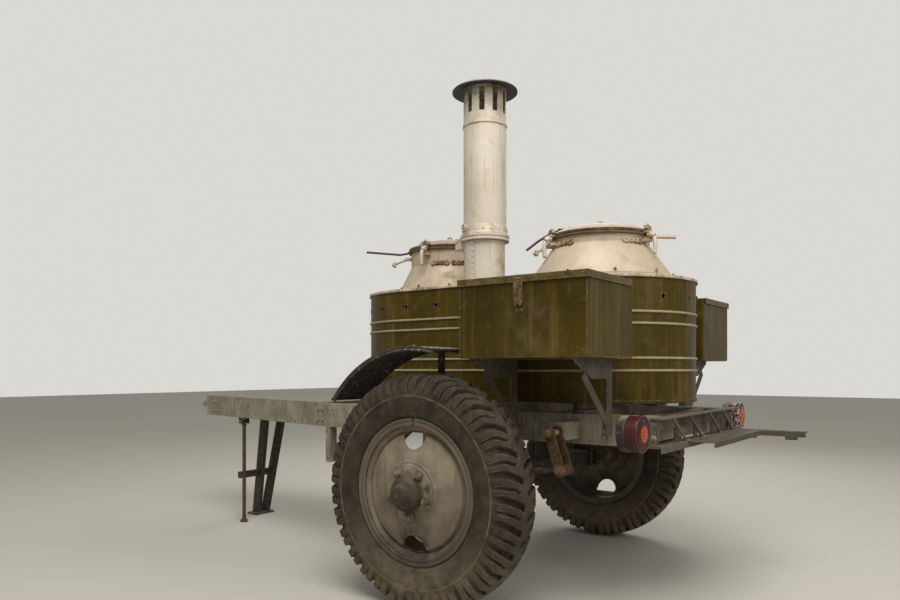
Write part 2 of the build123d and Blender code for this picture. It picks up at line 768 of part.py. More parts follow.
def boiler(x, sizes, clamps):
    """A hollow boiler: bowl, cone and neck, with clamp lugs, hinge ears and one loose swing bolt."""
    bowl_r, base_r, neck_r, neck_low, rim_z, floor_z = sizes
    t = boiler_t
    shelf = casing_top + flange_h
    body = revolve(bowl_outline(bowl_r, floor_z, [(bowl_r, casing_top), (base_r, casing_top), (base_r, shelf),
                                                  (neck_r, neck_low), (neck_r, rim_z), (0, rim_z)]), Axis.Z)
    for turn in clamps:
        body += Rot(0, 0, turn) * block((neck_r - 3, neck_r + clamp_out + 14), (-16, 16), (rim_z - 36, rim_z - 22))
    bolt_z = rim_z - 28
    loose = block((neck_r - 3, neck_r + clamp_out + 10), (-14, 14), (bolt_z - 8, bolt_z + 6))
    loose += rod(clamp_bolt_r, (neck_r + 20, 0, bolt_z), (loose_reach - 8, 0, bolt_z - 34))
    loose += block((loose_reach - 30, loose_reach - 16), (-22, 22), (bolt_z - 42, bolt_z - 20))
    body += Rot(0, 0, loose_bolt) * loose
    body += lid_hinge_ears(neck_r, rim_z)
    body -= revolve(bowl_outline(bowl_r - t, floor_z + t, [(bowl_r - t, shelf - t), (neck_r - t, neck_low - t / 2),
                                                           (neck_r - t, rim_z + 1), (0, rim_z + 1)]), Axis.Z)
    return Pos(x, 0, 0) * body


def boiler_lid(x, sizes, clamps, handle_turn=None):
    """A domed lid with rolled rim, valve, clamp lugs with their bolts and wing nuts, and its knuckle."""
    bowl_r, base_r, neck_r, neck_low, rim_z, floor_z = sizes
    z0 = rim_z + seat_gap
    r = neck_r + lid_over
    top = z0 + lid_rim_h + 4
    shoulder = (r - 12, top)
    inner = (neck_r - 16, z0 + 8)
    mid = r * 0.5
    edge = Polyline(inner, (neck_r - 10, z0), (r, z0), (r + 4, z0 + 8), (r, z0 + lid_rim_h), shoulder)
    edge += ThreePointArc(shoulder, (mid, top + lid_dome * 0.76), (0, top + lid_dome))
    edge += Line((0, top + lid_dome), (0, top + lid_dome - boiler_t))
    edge += ThreePointArc((0, top + lid_dome - boiler_t), (mid, top + lid_dome * 0.76 - boiler_t), inner)
    lid = revolve(make_face(Plane.XZ * edge), Axis.Z)
    lid += turned_z([(0, top + 14), (18, top + 14), (18, top + lid_dome + 6), (11, top + lid_dome + 8),
                     (11, top + lid_dome + 24), (0, top + lid_dome + 28)])
    for turn in clamps:
        out = neck_r + clamp_out
        lug = block((r - 8, out + 14), (-14, 14), (z0 + 3, z0 + 14))
        lug += rod(clamp_bolt_r, (out, 0, rim_z - 16), (out, 0, z0 + 42))
        lug += block((out - 6, out + 6), (-24, 24), (z0 + 19, z0 + 33))
        lid += Rot(0, 0, turn) * lug
    if handle_turn is not None:
        lid += Rot(0, 0, handle_turn) * rod(8, (r - 6, 0, z0 + 9), (r + 105, 0, z0 + 2))
    y = -neck_r - lid_pin_out
    z = rim_z + lid_pin_up
    lid += rod(lid_pin_r + 5, (-36, y, z), (36, y, z))
    lid += block((-30, 30), (y, -r + 14), (z - 2, z + 9))
    lid -= rod(lid_pin_r + running_gap, (-60, y, z), (60, y, z))
    return Pos(x, 0, 0) * lid


# Chimney


def chimney_stub():
    """Lower part of the chimney, with its foot ring, top ring, strap and the two ears of the fold."""
    stub = tube_z(stub_r, stub_r - pipe_t, casing_top, chimney_joint_z)
    stub += tube_z(stub_r + 22, stub_r - 1, casing_top, casing_top + 6)
    stub += tube_z(pipe_flange_r, stub_r - 1, chimney_joint_z - stub_flange_t, chimney_joint_z)
    z = chimney_joint_z
    for y in (-34, 22):
        stub += block((stub_r - 2, chimney_pin_x + 12), (y, y + 12), (z - 40, z - 2))
        stub += block((chimney_pin_x - 12, chimney_pin_x + 12), (y, y + 12), (z - 3, z + 11))
    stub += rod(chimney_pin_r, (chimney_pin_x, -38, z), (chimney_pin_x, 38, z))
    stub += block((stub_r - 2, stub_r + 8), (-16, 16), (casing_top + 5, z - 30))
    return Pos(chimney_x, chimney_y, 0) * stub


def chimney_pipe():
    """Upper part of the chimney: foot sleeve with the knuckle, bead, slots and the thin shallow cap."""
    low = chimney_joint_z + seat_gap
    pipe = tube_z(pipe_r, pipe_r - pipe_t, low, pipe_top + 8)
    pipe += turned_z([(pipe_r - 1, low), (pipe_flange_r, low), (pipe_flange_r, low + stub_flange_t),
                      (pipe_r + 5, low + stub_flange_t + 4), (pipe_r + 5, low + sleeve_h - 5),
                      (pipe_r - 1, low + sleeve_h)])
    bead_z = pipe_top - 162
    pipe += turned_z([(pipe_r - 1, bead_z - pipe_bead_h / 2), (pipe_r + 4, bead_z - pipe_bead_h / 2 + 4),
                      (pipe_r + 4, bead_z + pipe_bead_h / 2 - 4), (pipe_r - 1, bead_z + pipe_bead_h / 2)])
    slot_low = pipe_top - slot_h - 8
    for index in range(slot_count):
        slot = block((pipe_r - 20, pipe_r + 20), (-slot_w / 2, slot_w / 2), (slot_low, slot_low + slot_h))
        pipe -= Rot(0, 0, slot_turn + 360 / slot_count * index) * slot
    z = pipe_top
    cap = turned_z([(0, z + 44), (60, z + 36), (cap_r - 6, z + 4), (cap_r, z - 2), (cap_r, z - 7),
                    (cap_r - 8, z - 5), (60, z + 6), (0, z + 8)])
    pipe += cap
    z = chimney_joint_z
    pipe += rod(12, (chimney_pin_x, -19, z), (chimney_pin_x, 19, z))
    pipe += block((pipe_flange_r - 6, chimney_pin_x), (-19, 19), (z + 1, z + 12))
    pipe -= rod(chimney_pin_r + running_gap, (chimney_pin_x, -40, z), (chimney_pin_x, 40, z))
    return Pos(chimney_x, chimney_y, 0) * pipe


# Boxes


def box_body():
    """The left box: folded sheet with a rolled edge, and the hinge rod with its three ears."""
    x = (box_rear, box_front)
    body = block(x, (box_in, box_out), (box_bottom, box_top))
    body = fillet(body.edges().filter_by(Axis.Z), 7)
    inner_x = (box_rear + box_t, box_front - box_t)
    body -= block(inner_x, (box_in + box_t, box_out - box_t), (box_bottom + box_t, box_top + 1))
    for place in hinge_places():
        body += block((place - 9, place + 9), (box_in, box_in + 14), (box_top - 12, box_pin_z + 7))
    return body + rod(hinge_pin_r, (box_rear + 30, lid_pin_y, box_pin_z), (box_front - 30, lid_pin_y, box_pin_z))


def hinge_places():
    """Middles of the ears along the box."""
    span = box_front - box_rear
    return [box_rear + span * share for share in (0.08, 0.5, 0.92)]


def box_lid():
    """The left box's lid: plate with turned-down lips, knuckles and the hasp strap."""
    z0 = box_top + seat_gap
    y0 = lid_pin_y + 10
    y1 = box_out + lid_play + lid_t
    x = (box_rear - lid_play - lid_t, box_front + lid_play + lid_t)
    lid = block(x, (y0, y1), (z0, z0 + lid_t))
    lid += block(x, (box_out + lid_play, y1), (z0 + lid_t - lid_h, z0 + lid_t))
    lid += block((x[0], box_rear - lid_play), (y0, y1), (z0 + lid_t - lid_h, z0 + lid_t))
    lid += block((box_front + lid_play, x[1]), (y0, y1), (z0 + lid_t - lid_h, z0 + lid_t))
    first, middle, last = hinge_places()
    for low, high in ((first + 12, middle - 12), (middle + 12, last - 12)):
        centre = (low + high) / 2
        lid += rod(hinge_pin_r + 4, (centre - 60, lid_pin_y, box_pin_z), (centre + 60, lid_pin_y, box_pin_z))
        lid += block((centre - 60, centre + 60), (lid_pin_y, y0 + 6), (z0 + 2, z0 + lid_t + 4))
    lid -= rod(hinge_pin_r + running_gap, (box_rear, lid_pin_y, box_pin_z), (box_front, lid_pin_y, box_pin_z))
    mid_x = (box_rear + box_front) / 2
    hasp = block((mid_x - 17, mid_x + 17), (y1 - 1, y1 + 3), (box_top - 106, z0 + lid_t))
    hasp += rod(9, (mid_x, y1 - 1, box_top - 88), (mid_x, y1 + 9, box_top - 88))
    return lid + hasp


def box_brackets():
    """Two left angle brackets: leg on the side rail, bearer under the box, gusset and brace."""
    brackets = []
    top = box_bottom
    foot = rail_bottom + 40
    for x in bracket_places:
        plate = (x, x + bracket_t)
        wide = (x, x + bracket_w)
        piece = block(plate, (rail_y, rail_y + 46), (foot, top))
        piece += block(wide, (rail_y, rail_y + bracket_t), (foot, top))
        piece += block(wide, (rail_y, bracket_reach), (top - bracket_t, top))
        piece += end_plate([(bracket_reach, top - 4), (rail_y + 10, top - 4), (rail_y + 10, top - 78),
                            (bracket_reach - 130, top - 78), (bracket_reach, top - 16)], *plate)
        piece += strut(bracket_reach - 60, top - 62, rail_y + 16, foot + 30, 30, *plate)
        brackets.append(piece)
    return brackets


def build_all():
    """Write every piece."""
    os.makedirs("parts", exist_ok=True)
    pairs = {
        "tyre": [tyre()],
        "wheel": [wheel_disc()],
        "leaf_spring": [leaf_spring()],
        "axle_clamp": [axle_clamp()],
        "spring_hangers": list(spring_hangers()),
        "shackle": [shackle()],
        "mudguard": [mudguard()],
        "side_rail": [side_rail()],
        "drawbar_beam": [channel(rail_front, rail_y, beam_front, beam_front_y)],
        "tail_lamp": [tail_lamp()],
        "box_body": [box_body()],
        "box_lid": [box_lid()],
        "box_brackets": box_brackets(),
    }
    for name, pieces in pairs.items():
        save(f"{name}_left", *pieces)
        save(f"{name}_right", *[other_side(piece) for piece in pieces])
    save("axle", axle())
    save("cross_members", *cross_members())
    save("drawbar_nose", drawbar_nose())
    save("drawbar_deck", drawbar_deck())
    save("stand_tube", stand_tube())
    save("front_stand", front_stand())
    save("prop_bracket", prop_bracket())
    save("prop_leg", prop_leg())
    save("rear_beam", rear_beam())
    save("rear_step", rear_step())
    save("casing_feet", *casing_feet())
    save("casing", casing())
    save("casing_deck", casing_deck())
    save("boiler_rear", boiler(rear_boiler_x, rear_boiler, rear_clamps))
    save("boiler_front", boiler(front_boiler_x, front_boiler, front_clamps))
    save("boiler_lid_rear", boiler_lid(rear_boiler_x, rear_boiler, rear_clamps, rear_handle))
    save("boiler_lid_front", boiler_lid(front_boiler_x, front_boiler, front_clamps))
    save("chimney_stub", chimney_stub())
    save("chimney_pipe", chimney_pipe())
    for name, (x, side) in fire_doors.items():
        save(f"firebox_{name}", firebox(x))
        save(f"fire_door_hinge_{name}", door_hinge(name))
        save(f"fire_door_{name}", fire_door(name))


build_all()
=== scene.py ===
import math

import bmesh
import bpy
from mathutils import Matrix, Vector, noise


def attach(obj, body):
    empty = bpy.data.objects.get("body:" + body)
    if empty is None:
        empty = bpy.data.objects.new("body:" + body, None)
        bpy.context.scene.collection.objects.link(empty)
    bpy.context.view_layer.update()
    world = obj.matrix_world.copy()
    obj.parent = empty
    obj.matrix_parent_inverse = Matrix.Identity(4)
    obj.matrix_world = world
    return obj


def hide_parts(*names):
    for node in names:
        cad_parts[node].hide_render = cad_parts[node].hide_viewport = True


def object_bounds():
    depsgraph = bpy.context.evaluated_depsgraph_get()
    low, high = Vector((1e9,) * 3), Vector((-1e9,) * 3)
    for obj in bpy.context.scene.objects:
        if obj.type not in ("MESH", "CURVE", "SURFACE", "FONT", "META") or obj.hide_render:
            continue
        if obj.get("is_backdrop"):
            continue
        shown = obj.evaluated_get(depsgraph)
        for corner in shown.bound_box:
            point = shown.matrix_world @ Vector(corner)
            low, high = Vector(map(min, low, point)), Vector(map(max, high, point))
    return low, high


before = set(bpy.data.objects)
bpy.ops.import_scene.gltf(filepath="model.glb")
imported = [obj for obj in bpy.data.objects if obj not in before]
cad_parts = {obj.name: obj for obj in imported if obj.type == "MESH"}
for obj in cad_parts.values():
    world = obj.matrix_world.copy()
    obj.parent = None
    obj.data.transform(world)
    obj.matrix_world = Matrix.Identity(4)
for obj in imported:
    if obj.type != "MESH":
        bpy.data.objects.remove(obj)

# Two-wheeled field kitchen trailer. Every piece is placed in millimetres: X is counted forward
# from the axle, Y to the trailer's left and Z up from the ground, and at() turns that into the
# frame's metres.
cad_box = [list(corner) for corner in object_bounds()]
axle_to_middle = 745.5

# Places that finishes and small pieces share
wheel_z, wheel_y = 465, 810
tyre_r, tyre_half = 465, 105
bead_heights = (939, 990, 1130, 1178)
casing_r = 415
casing_rear_x, casing_front_x = -370, 490
chimney_x, chimney_y = 64, 300
rail_y = 428
box_x = -434.5
leg_x, leg_y = 1905, 240


def at(x, y, z):
    """A point of the trailer, in metres, from its place in millimetres from the axle."""
    return Vector(((x - axle_to_middle) / 1000, y / 1000, z / 1000))


def paint(hex_colour):
    """The linear colour of an sRGB hex value."""
    parts = [int(hex_colour[i:i + 2], 16) / 255 for i in (0, 2, 4)]
    return [c / 12.92 if c <= 0.04045 else ((c + 0.055) / 1.055) ** 2.4 for c in parts] + [1]


def per(millimetres):
    """The texture scale at which a pattern repeats about once in that many millimetres."""
    return 1000 / millimetres


def add(tree, kind, sockets=None, **settings):
    """Adds a node and gives its outputs; a socket takes a number, a colour or a node's output."""
    made = tree.nodes.new(kind)
    for name, value in settings.items():
        setattr(made, name, value)
    for name, value in (sockets or {}).items():
        if isinstance(value, bpy.types.NodeSocket):
            tree.links.new(value, made.inputs[name])
        else:
            made.inputs[name].default_value = value
    return made.outputs


def shown(name, data):
    """A new object of the scene."""
    made = bpy.data.objects.new(name, data)
    bpy.context.scene.collection.objects.link(made)
    return made


def aimed(name, data, place, direction):
    """A camera or lamp at a place, looking along a direction."""
    made = shown(name, data)
    made.location = at(*place)
    made.rotation_mode = "QUATERNION"
    made.rotation_quaternion = Vector(direction).to_track_quat("-Z", "Y")
    return made


def start_finish(name):
    """A new material and its tree, still empty."""
    material = bpy.data.materials.new(name)
    material.use_nodes = True
    material.node_tree.nodes.clear()
    return material, material.node_tree


def end_finish(material, sockets):
    """Ends a material with its shader and output."""
    tree = material.node_tree
    shader = add(tree, "ShaderNodeBsdfPrincipled", sockets)
    add(tree, "ShaderNodeOutputMaterial", {"Surface": shader[0]})
    return material


# Camera: level, at about the height of the boxes, at the rear left of the trailer
photo_width_px = 900
focal_px = 720
horizon_below_middle_px = 69
sensor_mm = 36
camera = aimed("camera", bpy.data.cameras.new("camera"), (-1795, 3050, 945), (0.5995, -0.8004, 0))
bpy.context.scene.camera = camera
camera.data.sensor_width = sensor_mm
camera.data.lens = sensor_mm * focal_px / photo_width_px
camera.data.shift_y = horizon_below_middle_px / photo_width_px
camera.data.clip_end = 60


def plain_ground():
    """A pale floor that keeps the trailer's shadow and shows the backdrop's colour far away."""
    material, tree = start_finish("pale_floor")
    end_finish(material, {"Base Color": paint("C9C4B8"), "Roughness": 0.9})
    mesh = bpy.data.meshes.new("floor")
    half = 24
    corners = [(-half, -half, 0), (half, -half, 0), (half, half, 0), (-half, half, 0)]
    mesh.from_pydata(corners, [], [(0, 1, 2, 3)])
    mesh.materials.append(material)
    floor = shown("floor", mesh)
    floor.location.z = -0.001
    floor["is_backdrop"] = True


def plain_light():
    """An overcast sky: an even world, one broad lamp above and two weak ones."""
    world = bpy.data.worlds.new("overcast")
    bpy.context.scene.world = world
    world.use_nodes = True
    tree = world.node_tree
    tree.nodes.clear()
    ray = add(tree, "ShaderNodeLightPath")
    rays = {0: ray["Is Camera Ray"], 1: ray["Is Transmission Ray"]}
    clear = add(tree, "ShaderNodeMath", rays, operation="MAXIMUM")[0]
    sky = add(tree, "ShaderNodeBackground", {"Color": paint("E4E4E0"), "Strength": 0.5})
    backdrop = add(tree, "ShaderNodeBackground", {"Color": paint("DAD8D2"), "Strength": 1})
    both = add(tree, "ShaderNodeMixShader", {0: clear, 1: sky[0], 2: backdrop[0]})
    add(tree, "ShaderNodeOutputWorld", {"Surface": both[0]})
    for name, place, aim, size, watts in (
            ("broad_sky_lamp", (-1500, 2600, 5200), (300, 0, 700), 4, 215),
            ("far_side_lamp", (1800, -4200, 3600), (200, 0, 900), 3, 70),
            ("rear_lamp", (-4600, 600, 2600), (0, 0, 900), 2.5, 34)):
        lamp = bpy.data.lights.new(name, "AREA")
        lamp.shape = "DISK"
        lamp.size = size
        lamp.energy = watts
        aimed(name, lamp, place, at(*aim) - at(*place))


plain_ground()
plain_light()
bpy.context.scene.view_settings.view_transform = "Standard"


# Masks that several finishes share, each 0 to 1 over the surface
def levels(value, low, high):
    """The settings that turn a value into a mask, 0 at the low level and 1 at the high one."""
    return {"Value": value, "From Min": low, "From Max": high}


def patches(tree, place, size_mm, low, high, detail=4, bottom=0, top=1):
    """Irregular patches of about a size, from bottom to top between two levels of the noise."""
    look = {"Vector": place, "Scale": per(size_mm), "Detail": detail, "Roughness": 0.6}
    mask = levels(add(tree, "ShaderNodeTexNoise", look)[0], low, high)
    return add(tree, "ShaderNodeMapRange", mask | {"To Min": bottom, "To Max": top})[0]


def rain_runs(tree, place, width_mm, length_mm, low, high):
    """Long upright runs that rain and steam leave down a painted wall."""
    shape = (per(width_mm), per(width_mm), per(length_mm))
    drawn = add(tree, "ShaderNodeMapping", {"Vector": place, "Scale": shape})[0]
    cloud = add(tree, "ShaderNodeTexNoise", {"Vector": drawn, "Scale": 1, "Detail": 3})[0]
    return add(tree, "ShaderNodeMapRange", levels(cloud, low, high))[0]


def height_mask(tree, place, low_mm, high_mm):
    """0 at the first height and 1 at the second."""
    z = add(tree, "ShaderNodeSeparateXYZ", {0: place})["Z"]
    return add(tree, "ShaderNodeMapRange", levels(z, low_mm / 1000, high_mm / 1000))[0]


def away_mask(tree, place, spot, kept, out_mm, in_mm):
    """0 at the first distance from a spot and 1 at the second, counted along the kept axes."""
    flat = add(tree, "ShaderNodeVectorMath", {0: place, 1: kept}, operation="MULTIPLY")[0]
    away = add(tree, "ShaderNodeVectorMath", {0: flat, 1: spot}, operation="DISTANCE")["Value"]
    return add(tree, "ShaderNodeMapRange", levels(away, out_mm / 1000, in_mm / 1000))[0]


def from_axle(tree, place, out_mm, in_mm):
    """0 at the first distance from the wheels' axis and 1 at the second."""
    return away_mask(tree, place, at(0, 0, wheel_z), (1, 0, 1), out_mm, in_mm)


def facing_up(tree, place, low, high):
    """1 on what faces up."""
    normal = add(tree, "ShaderNodeNewGeometry")["Normal"]
    z = add(tree, "ShaderNodeSeparateXYZ", {0: normal})["Z"]
    return add(tree, "ShaderNodeMapRange", levels(z, low, high))[0]


def painted_shade_in_hollows(tree, place, reach_mm, low, high):
    """1 down in narrow gaps and corners, where shade is painted in."""
    reach = {"Distance": reach_mm / 1000}
    sky = add(tree, "ShaderNodeAmbientOcclusion", reach, samples=4, only_local=True)["AO"]
    return add(tree, "ShaderNodeMapRange", levels(sky, high, low))[0]


def ribs(tree, place, rib_mm):
    """Moulded ribs at a pitch, which bend a little."""
    look = {"Vector": place, "Scale": per(rib_mm) / math.tau, "Distortion": 0.6}
    return add(tree, "ShaderNodeTexWave", look, bands_direction="Z")["Fac"]


def rounded(tree, width_mm):
    """The surface's normal with its edges rounded, and 1 along those edges."""
    normal = add(tree, "ShaderNodeBevel", {"Radius": width_mm / 1000}, samples=4)[0]
    flat = add(tree, "ShaderNodeNewGeometry")["Normal"]
    same = add(tree, "ShaderNodeVectorMath", {0: normal, 1: flat}, operation="DOT_PRODUCT")
    edge = add(tree, "ShaderNodeMapRange", levels(same["Value"], 0.985, 0.86))
    return normal, edge[0]


def painted(name, edge_mm, tone, layers, grain, sockets):
    """One finish: a first tone, the coats laid over it in turn, its grain and what else its shader
    takes. A layer is a mask, a coat and any shares that weaken the mask. Masks and shares are
    numbers, or tuples of a maker and its sizes, and "edges" is where wear has rubbed the edges. A
    coat is a hex colour, or a tuple of a first tone and its own layers. Each grain has its depth in
    millimetres before its maker and sizes. Real grain is too fine to show, so the finest here is
    drawn 3 to 5 mm wide."""
    material, tree = start_finish(name)
    place = add(tree, "ShaderNodeTexCoord")["Object"]
    normal, edges = rounded(tree, edge_mm)

    def made(part):
        if part == "edges":
            return edges
        return part[0](tree, place, *part[1:]) if isinstance(part, tuple) else part

    def laid(tone, layers):
        below = paint(tone)
        for mask, coat, *shares in layers:
            mask = made(mask)
            for share in shares:
                both = {0: mask, 1: made(share)}
                mask = add(tree, "ShaderNodeMath", both, operation="MULTIPLY")[0]
            above = laid(*coat) if isinstance(coat, tuple) else paint(coat)
            mix = {"Fac": mask, "Color1": below, "Color2": above}
            below = add(tree, "ShaderNodeMixRGB", mix)[0]
        return below

    for depth_mm, *part in grain:
        raised = {"Height": made(tuple(part)), "Distance": depth_mm / 1000, "Normal": normal}
        normal = add(tree, "ShaderNodeBump", raised)[0]
    taken = {socket: made(value) for socket, value in sockets.items()}
    return end_finish(material, taken | {"Base Color": laid(tone, layers), "Normal": normal})


# Finishes
def mottled(first, size_mm, low, high, other):
    """A tone with patches of another."""
    return first, [((patches, size_mm, low, high), other)]


rust_spots = mottled("54331D", 7, 0.4, 0.65, "9A6234")


def olive_enamel(name, rubbed=(), pale_from_mm=3000):
    """Alkyd enamel brushed and sprayed over sheet steel: glossy and dark olive, with steam and rain
    runs down the walls, dust patches, and edges rubbed to a pale primer with some rust."""
    dust = (patches, 45, 0.56, 0.8, 8)
    scuffed_by_hands = at(-480, 815, 1075)
    return painted(name, 5, "3A2E0C", [
        ((patches, 260, 0.3, 0.7), "514213"),
        ((rain_runs, 26, 520, 0.52, 0.84), "6D5A24"),
        ((rain_runs, 60, 900, 0.55, 0.9), "33290C"),
        (dust, "7C6B42", 0.45),
        ((patches, 9, 0.71, 0.75, 6), "9B8F6E"),
        ((away_mask, scuffed_by_hands, (1, 1, 1), 170, 40), "786C4E", (patches, 70, 0.4, 0.7), 0.4),
        *rubbed,
        ((height_mask, pale_from_mm, pale_from_mm + 1), mottled("CFC1A8", 40, 0.4, 0.7, "8A6A48")),
        ("edges", mottled("94875F", 12, 0.48, 0.6, "5F3F22"), (patches, 16, 0.42, 0.62))],
        [(5, patches, 190, 0.2, 0.8, 1.5), (0.05, patches, 3, 0.2, 0.8, 2)],
        {"Roughness": (*dust, 0.32, 0.62), "Specular IOR Level": 0.14})


def heat_paint(name, light="E0D5C4", dark="CDBFA8", flakes=(), soot=()):
    """Heat-resisting aluminium paint on steel, chalked by steam to a warm pale grey: rust bleeds
    from its edges and spots, and smoke darkens what is above the fire."""
    stain = (patches, 120, 0.56, 0.78, 7)
    return painted(name, 6, dark, [
        ((patches, 170, 0.3, 0.7), light),
        ((rain_runs, 14, 300, 0.58, 0.85), "A8967C"),
        (stain, "A98A66"),
        ((patches, 11, 0.67, 0.74, 3), "7A5233"),
        *flakes,
        ("edges", rust_spots, (patches, 30, 0.36, 0.6)),
        *soot],
        [(3, patches, 140, 0.2, 0.8, 2), (0.25, patches, 4, 0.3, 0.8, 4)],
        {"Roughness": (*stain, 0.5, 0.85), "Metallic": 0.15})


def frame_paint(name, light, dark, darker_below_mm=640, dust="8A7F6B", streaks=0.2):
    """Grey paint over rolled steel channel, matt with road dust: rust runs from its bolts and
    edges, and it is darker towards the bottom."""
    return painted(name, 4, dark, [
        ((patches, 110, 0.3, 0.72, 6), light),
        ((rain_runs, 10, 130, 0.5, 0.78), dark, 0.4 + streaks / 2),
        ((rain_runs, 7, 110, 0.5, 0.72), "3B3226", streaks),
        ((patches, 16, 0.56, 0.7, 7), dust),
        ((patches, 34, 0.6, 0.72, 6), "5F4129"),
        ((facing_up, 0.45, 0.95), dust, (patches, 55, 0.3, 0.62, 6)),
        ("edges", mottled("A79C88", 9, 0.45, 0.62, "6A4427"), (patches, 22, 0.38, 0.6)),
        # darker towards the bottom
        ((height_mask, darker_below_mm, darker_below_mm - 260), "3E3528", (patches, 60, 0.4, 0.75))],
        [(0.35, patches, 5, 0.3, 0.8, 5)], {"Roughness": 0.72})


def rusted_steel(name, light="8A5A36", dark="3C2718", paint_left="5E5344"):
    """Hot-rolled steel, its paint mostly gone: flaking brown rust with dark pits and some grey."""
    return painted(name, 3, dark, [
        ((patches, 26, 0.32, 0.66, 8), light),
        ((patches, 70, 0.5, 0.62, 5), paint_left),
        ("edges", "9B7B58", (patches, 18, 0.42, 0.62))],
        [(0.5, patches, 4, 0.3, 0.75, 6)], {"Roughness": 0.82})


def red_moulding(name, bloom=()):
    """Dark red moulded lens, satin and scuffed along its rims."""
    return painted(name, 4, "2E0F0C", [
        ((patches, 40, 0.3, 0.7), "4C1C16"),
        ((patches, 9, 0.62, 0.74, 6), "6E4238"),
        *bloom,
        ("edges", "9A6A60", (patches, 14, 0.3, 0.6))],
        [(0.1, patches, 3, 0.3, 0.8)], {"Roughness": 0.42, "Specular IOR Level": 0.3})


# Moulded cross-country tyre rubber: brown-black, greyed by dust that clings to the sidewall and to
# the lugs, with fine grain and age cracks. The pale ring on its moulded ridge and its pale lug
# edges are painted highlight with dust, and its tread gaps are darkened with painted shade
rubber = painted("dusty_moulded_rubber_with_painted_light", 4, "2B251D", [
    ((patches, 90, 0.3, 0.7, 5), "4A4034"),
    ((patches, 28, 0.5, 0.8, 3), "665C4A", 0.4),
    # pale ring on the moulded ridge: painted highlight with dust
    ((from_axle, 371.5, 374), "857A64", (from_axle, 380.5, 378), (patches, 60, 0.35, 0.72, 6), 0.8),
    ((height_mask, 330, 90), "7B6F59", (patches, 50, 0.25, 0.7, 6)),
    # pale lug edges: painted highlight with dust
    ("edges", "857A62", (patches, 24, 0.35, 0.6)),
    # tread gaps: painted shade
    ((painted_shade_in_hollows, 26, 0.35, 0.8), "14110D")],
    [(0.25, patches, 3, 0.25, 0.8, 4), (0.6, patches, 40, 0.3, 0.8, 2)],
    {"Roughness": 0.86, "Specular IOR Level": 0.28})

# Pressed steel disc in old grey-green paint under dust: streaked, darker with grease round the hub,
# with painted shade over its lower half, rust in the low window and a brown patch by the split of
# the lock ring
stains = []
for side in (1, -1):
    low_window, split = at(0, side * 905, wheel_z - 200), at(-62, side * 898, wheel_z + 264)
    stains += [((away_mask, low_window, (1, 1, 1), 105, 40), "3A2316", (patches, 18, 0.36, 0.62)),
               ((away_mask, split, (1, 1, 1), 80, 20), "5E3A2A", (patches, 16, 0.36, 0.64), 0.75)]
disc_paint = painted("dusty_paint_and_painted_shade_on_pressed_disc", 5, "70644F", [
    ((patches, 130, 0.3, 0.7, 6), "9D8F79"),
    ((rain_runs, 26, 130, 0.5, 0.85), "52473A", 0.6),
    ((patches, 22, 0.62, 0.76, 7), "A2957D"),
    # painted shade: darker towards the disc's bottom
    ((height_mask, 460, 240), "4A3F31", (patches, 70, 0.2, 0.6, 5)),
    ((from_axle, 155, 90), "332B22", (patches, 52, 0.4, 0.62), 0.85),
    ((from_axle, 246, 258), "453B2F", 0.62),
    *stains,
    ("edges", mottled("9C917C", 14, 0.46, 0.6, "6A452A"), (patches, 30, 0.36, 0.6))],
    [(1.5, patches, 90, 0.2, 0.8, 2), (0.25, patches, 4, 0.3, 0.8, 5)], {"Roughness": 0.6})

# Orange moulded lens with a ribbed inside: smooth and a little see-through, and bright from a
# painted glow, a weak emission of its own
amber_lens = painted("moulded_orange_lens_with_painted_glow", 0.5, "8E3413", [
    ((ribs, 6), "C4561C"), ((patches, 22, 0.45, 0.7, 3), "7A2A1C")],
    [(0.6, ribs, 6)], {"Roughness": 0.28, "Transmission Weight": 0.1,
                       # painted glow: a weak orange emission
                       "Emission Color": paint("C04A18"), "Emission Strength": 0.16})

enamel = olive_enamel("alkyd_enamel_on_sheet_steel")
# greyer than the walls, since hands and tools rub the folds down to primer
worn_enamel = olive_enamel("rubbed_enamel_on_folded_edge", [
    ((patches, 30, 0.28, 0.64, 5), "66573A"), ((patches, 14, 0.58, 0.68, 7), "86795D")])
# olive up to a line, and pale along the casing's top edge
casing_enamel = olive_enamel("alkyd_enamel_on_beaded_casing", (), 1316)
# chalky pale grey: darker on the spun cones and domed lids, flaking to rust on the chimney's band,
# smoked at the chimney's head, whose cap is blue-black underneath and pale on top
cap_tones = ("1E2226", [((patches, 60, 0.35, 0.7), "43464A"),
                        ((facing_up, 0, 0.001), mottled("A6A496", 40, 0.35, 0.7, "6E695C"))])
lid_paint = heat_paint("aluminium_paint_on_spun_steel", "D3C2AA", "BDA98E")
crown_paint = heat_paint("aluminium_paint_on_domed_lid", "CFC0A9", "AE9C82")
pale_handle = heat_paint("aluminium_paint_on_forged_handle")
flaking_paint = heat_paint("flaking_aluminium_paint_on_band", flakes=[
    ((patches, 34, 0.48, 0.7, 9), "B79C7C"), ((patches, 10, 0.62, 0.68, 8), rust_spots)])
outside_pipe = (away_mask, at(chimney_x, chimney_y, 0), (1, 1, 0), 100.4, 100.6)
chimney_paint = heat_paint("aluminium_paint_on_rolled_tube", soot=[
    ((height_mask, 2055, 2215), "4B4137", (patches, 50, 0.3, 0.7)),
    ((height_mask, 2195, 2196), cap_tones, outside_pipe)])
# pale tones, primer and rust: pale on the beads' crowns, and nearly black on the lids' edges,
# where soot and rust are darkened further with painted shade under each lid
# a plain pale tone along the crowns of the casing's beads
pale_bead_tone = rusted_steel("pale_tone_on_pressed_bead_crown", "B3A684", "93865F", "A59A74")
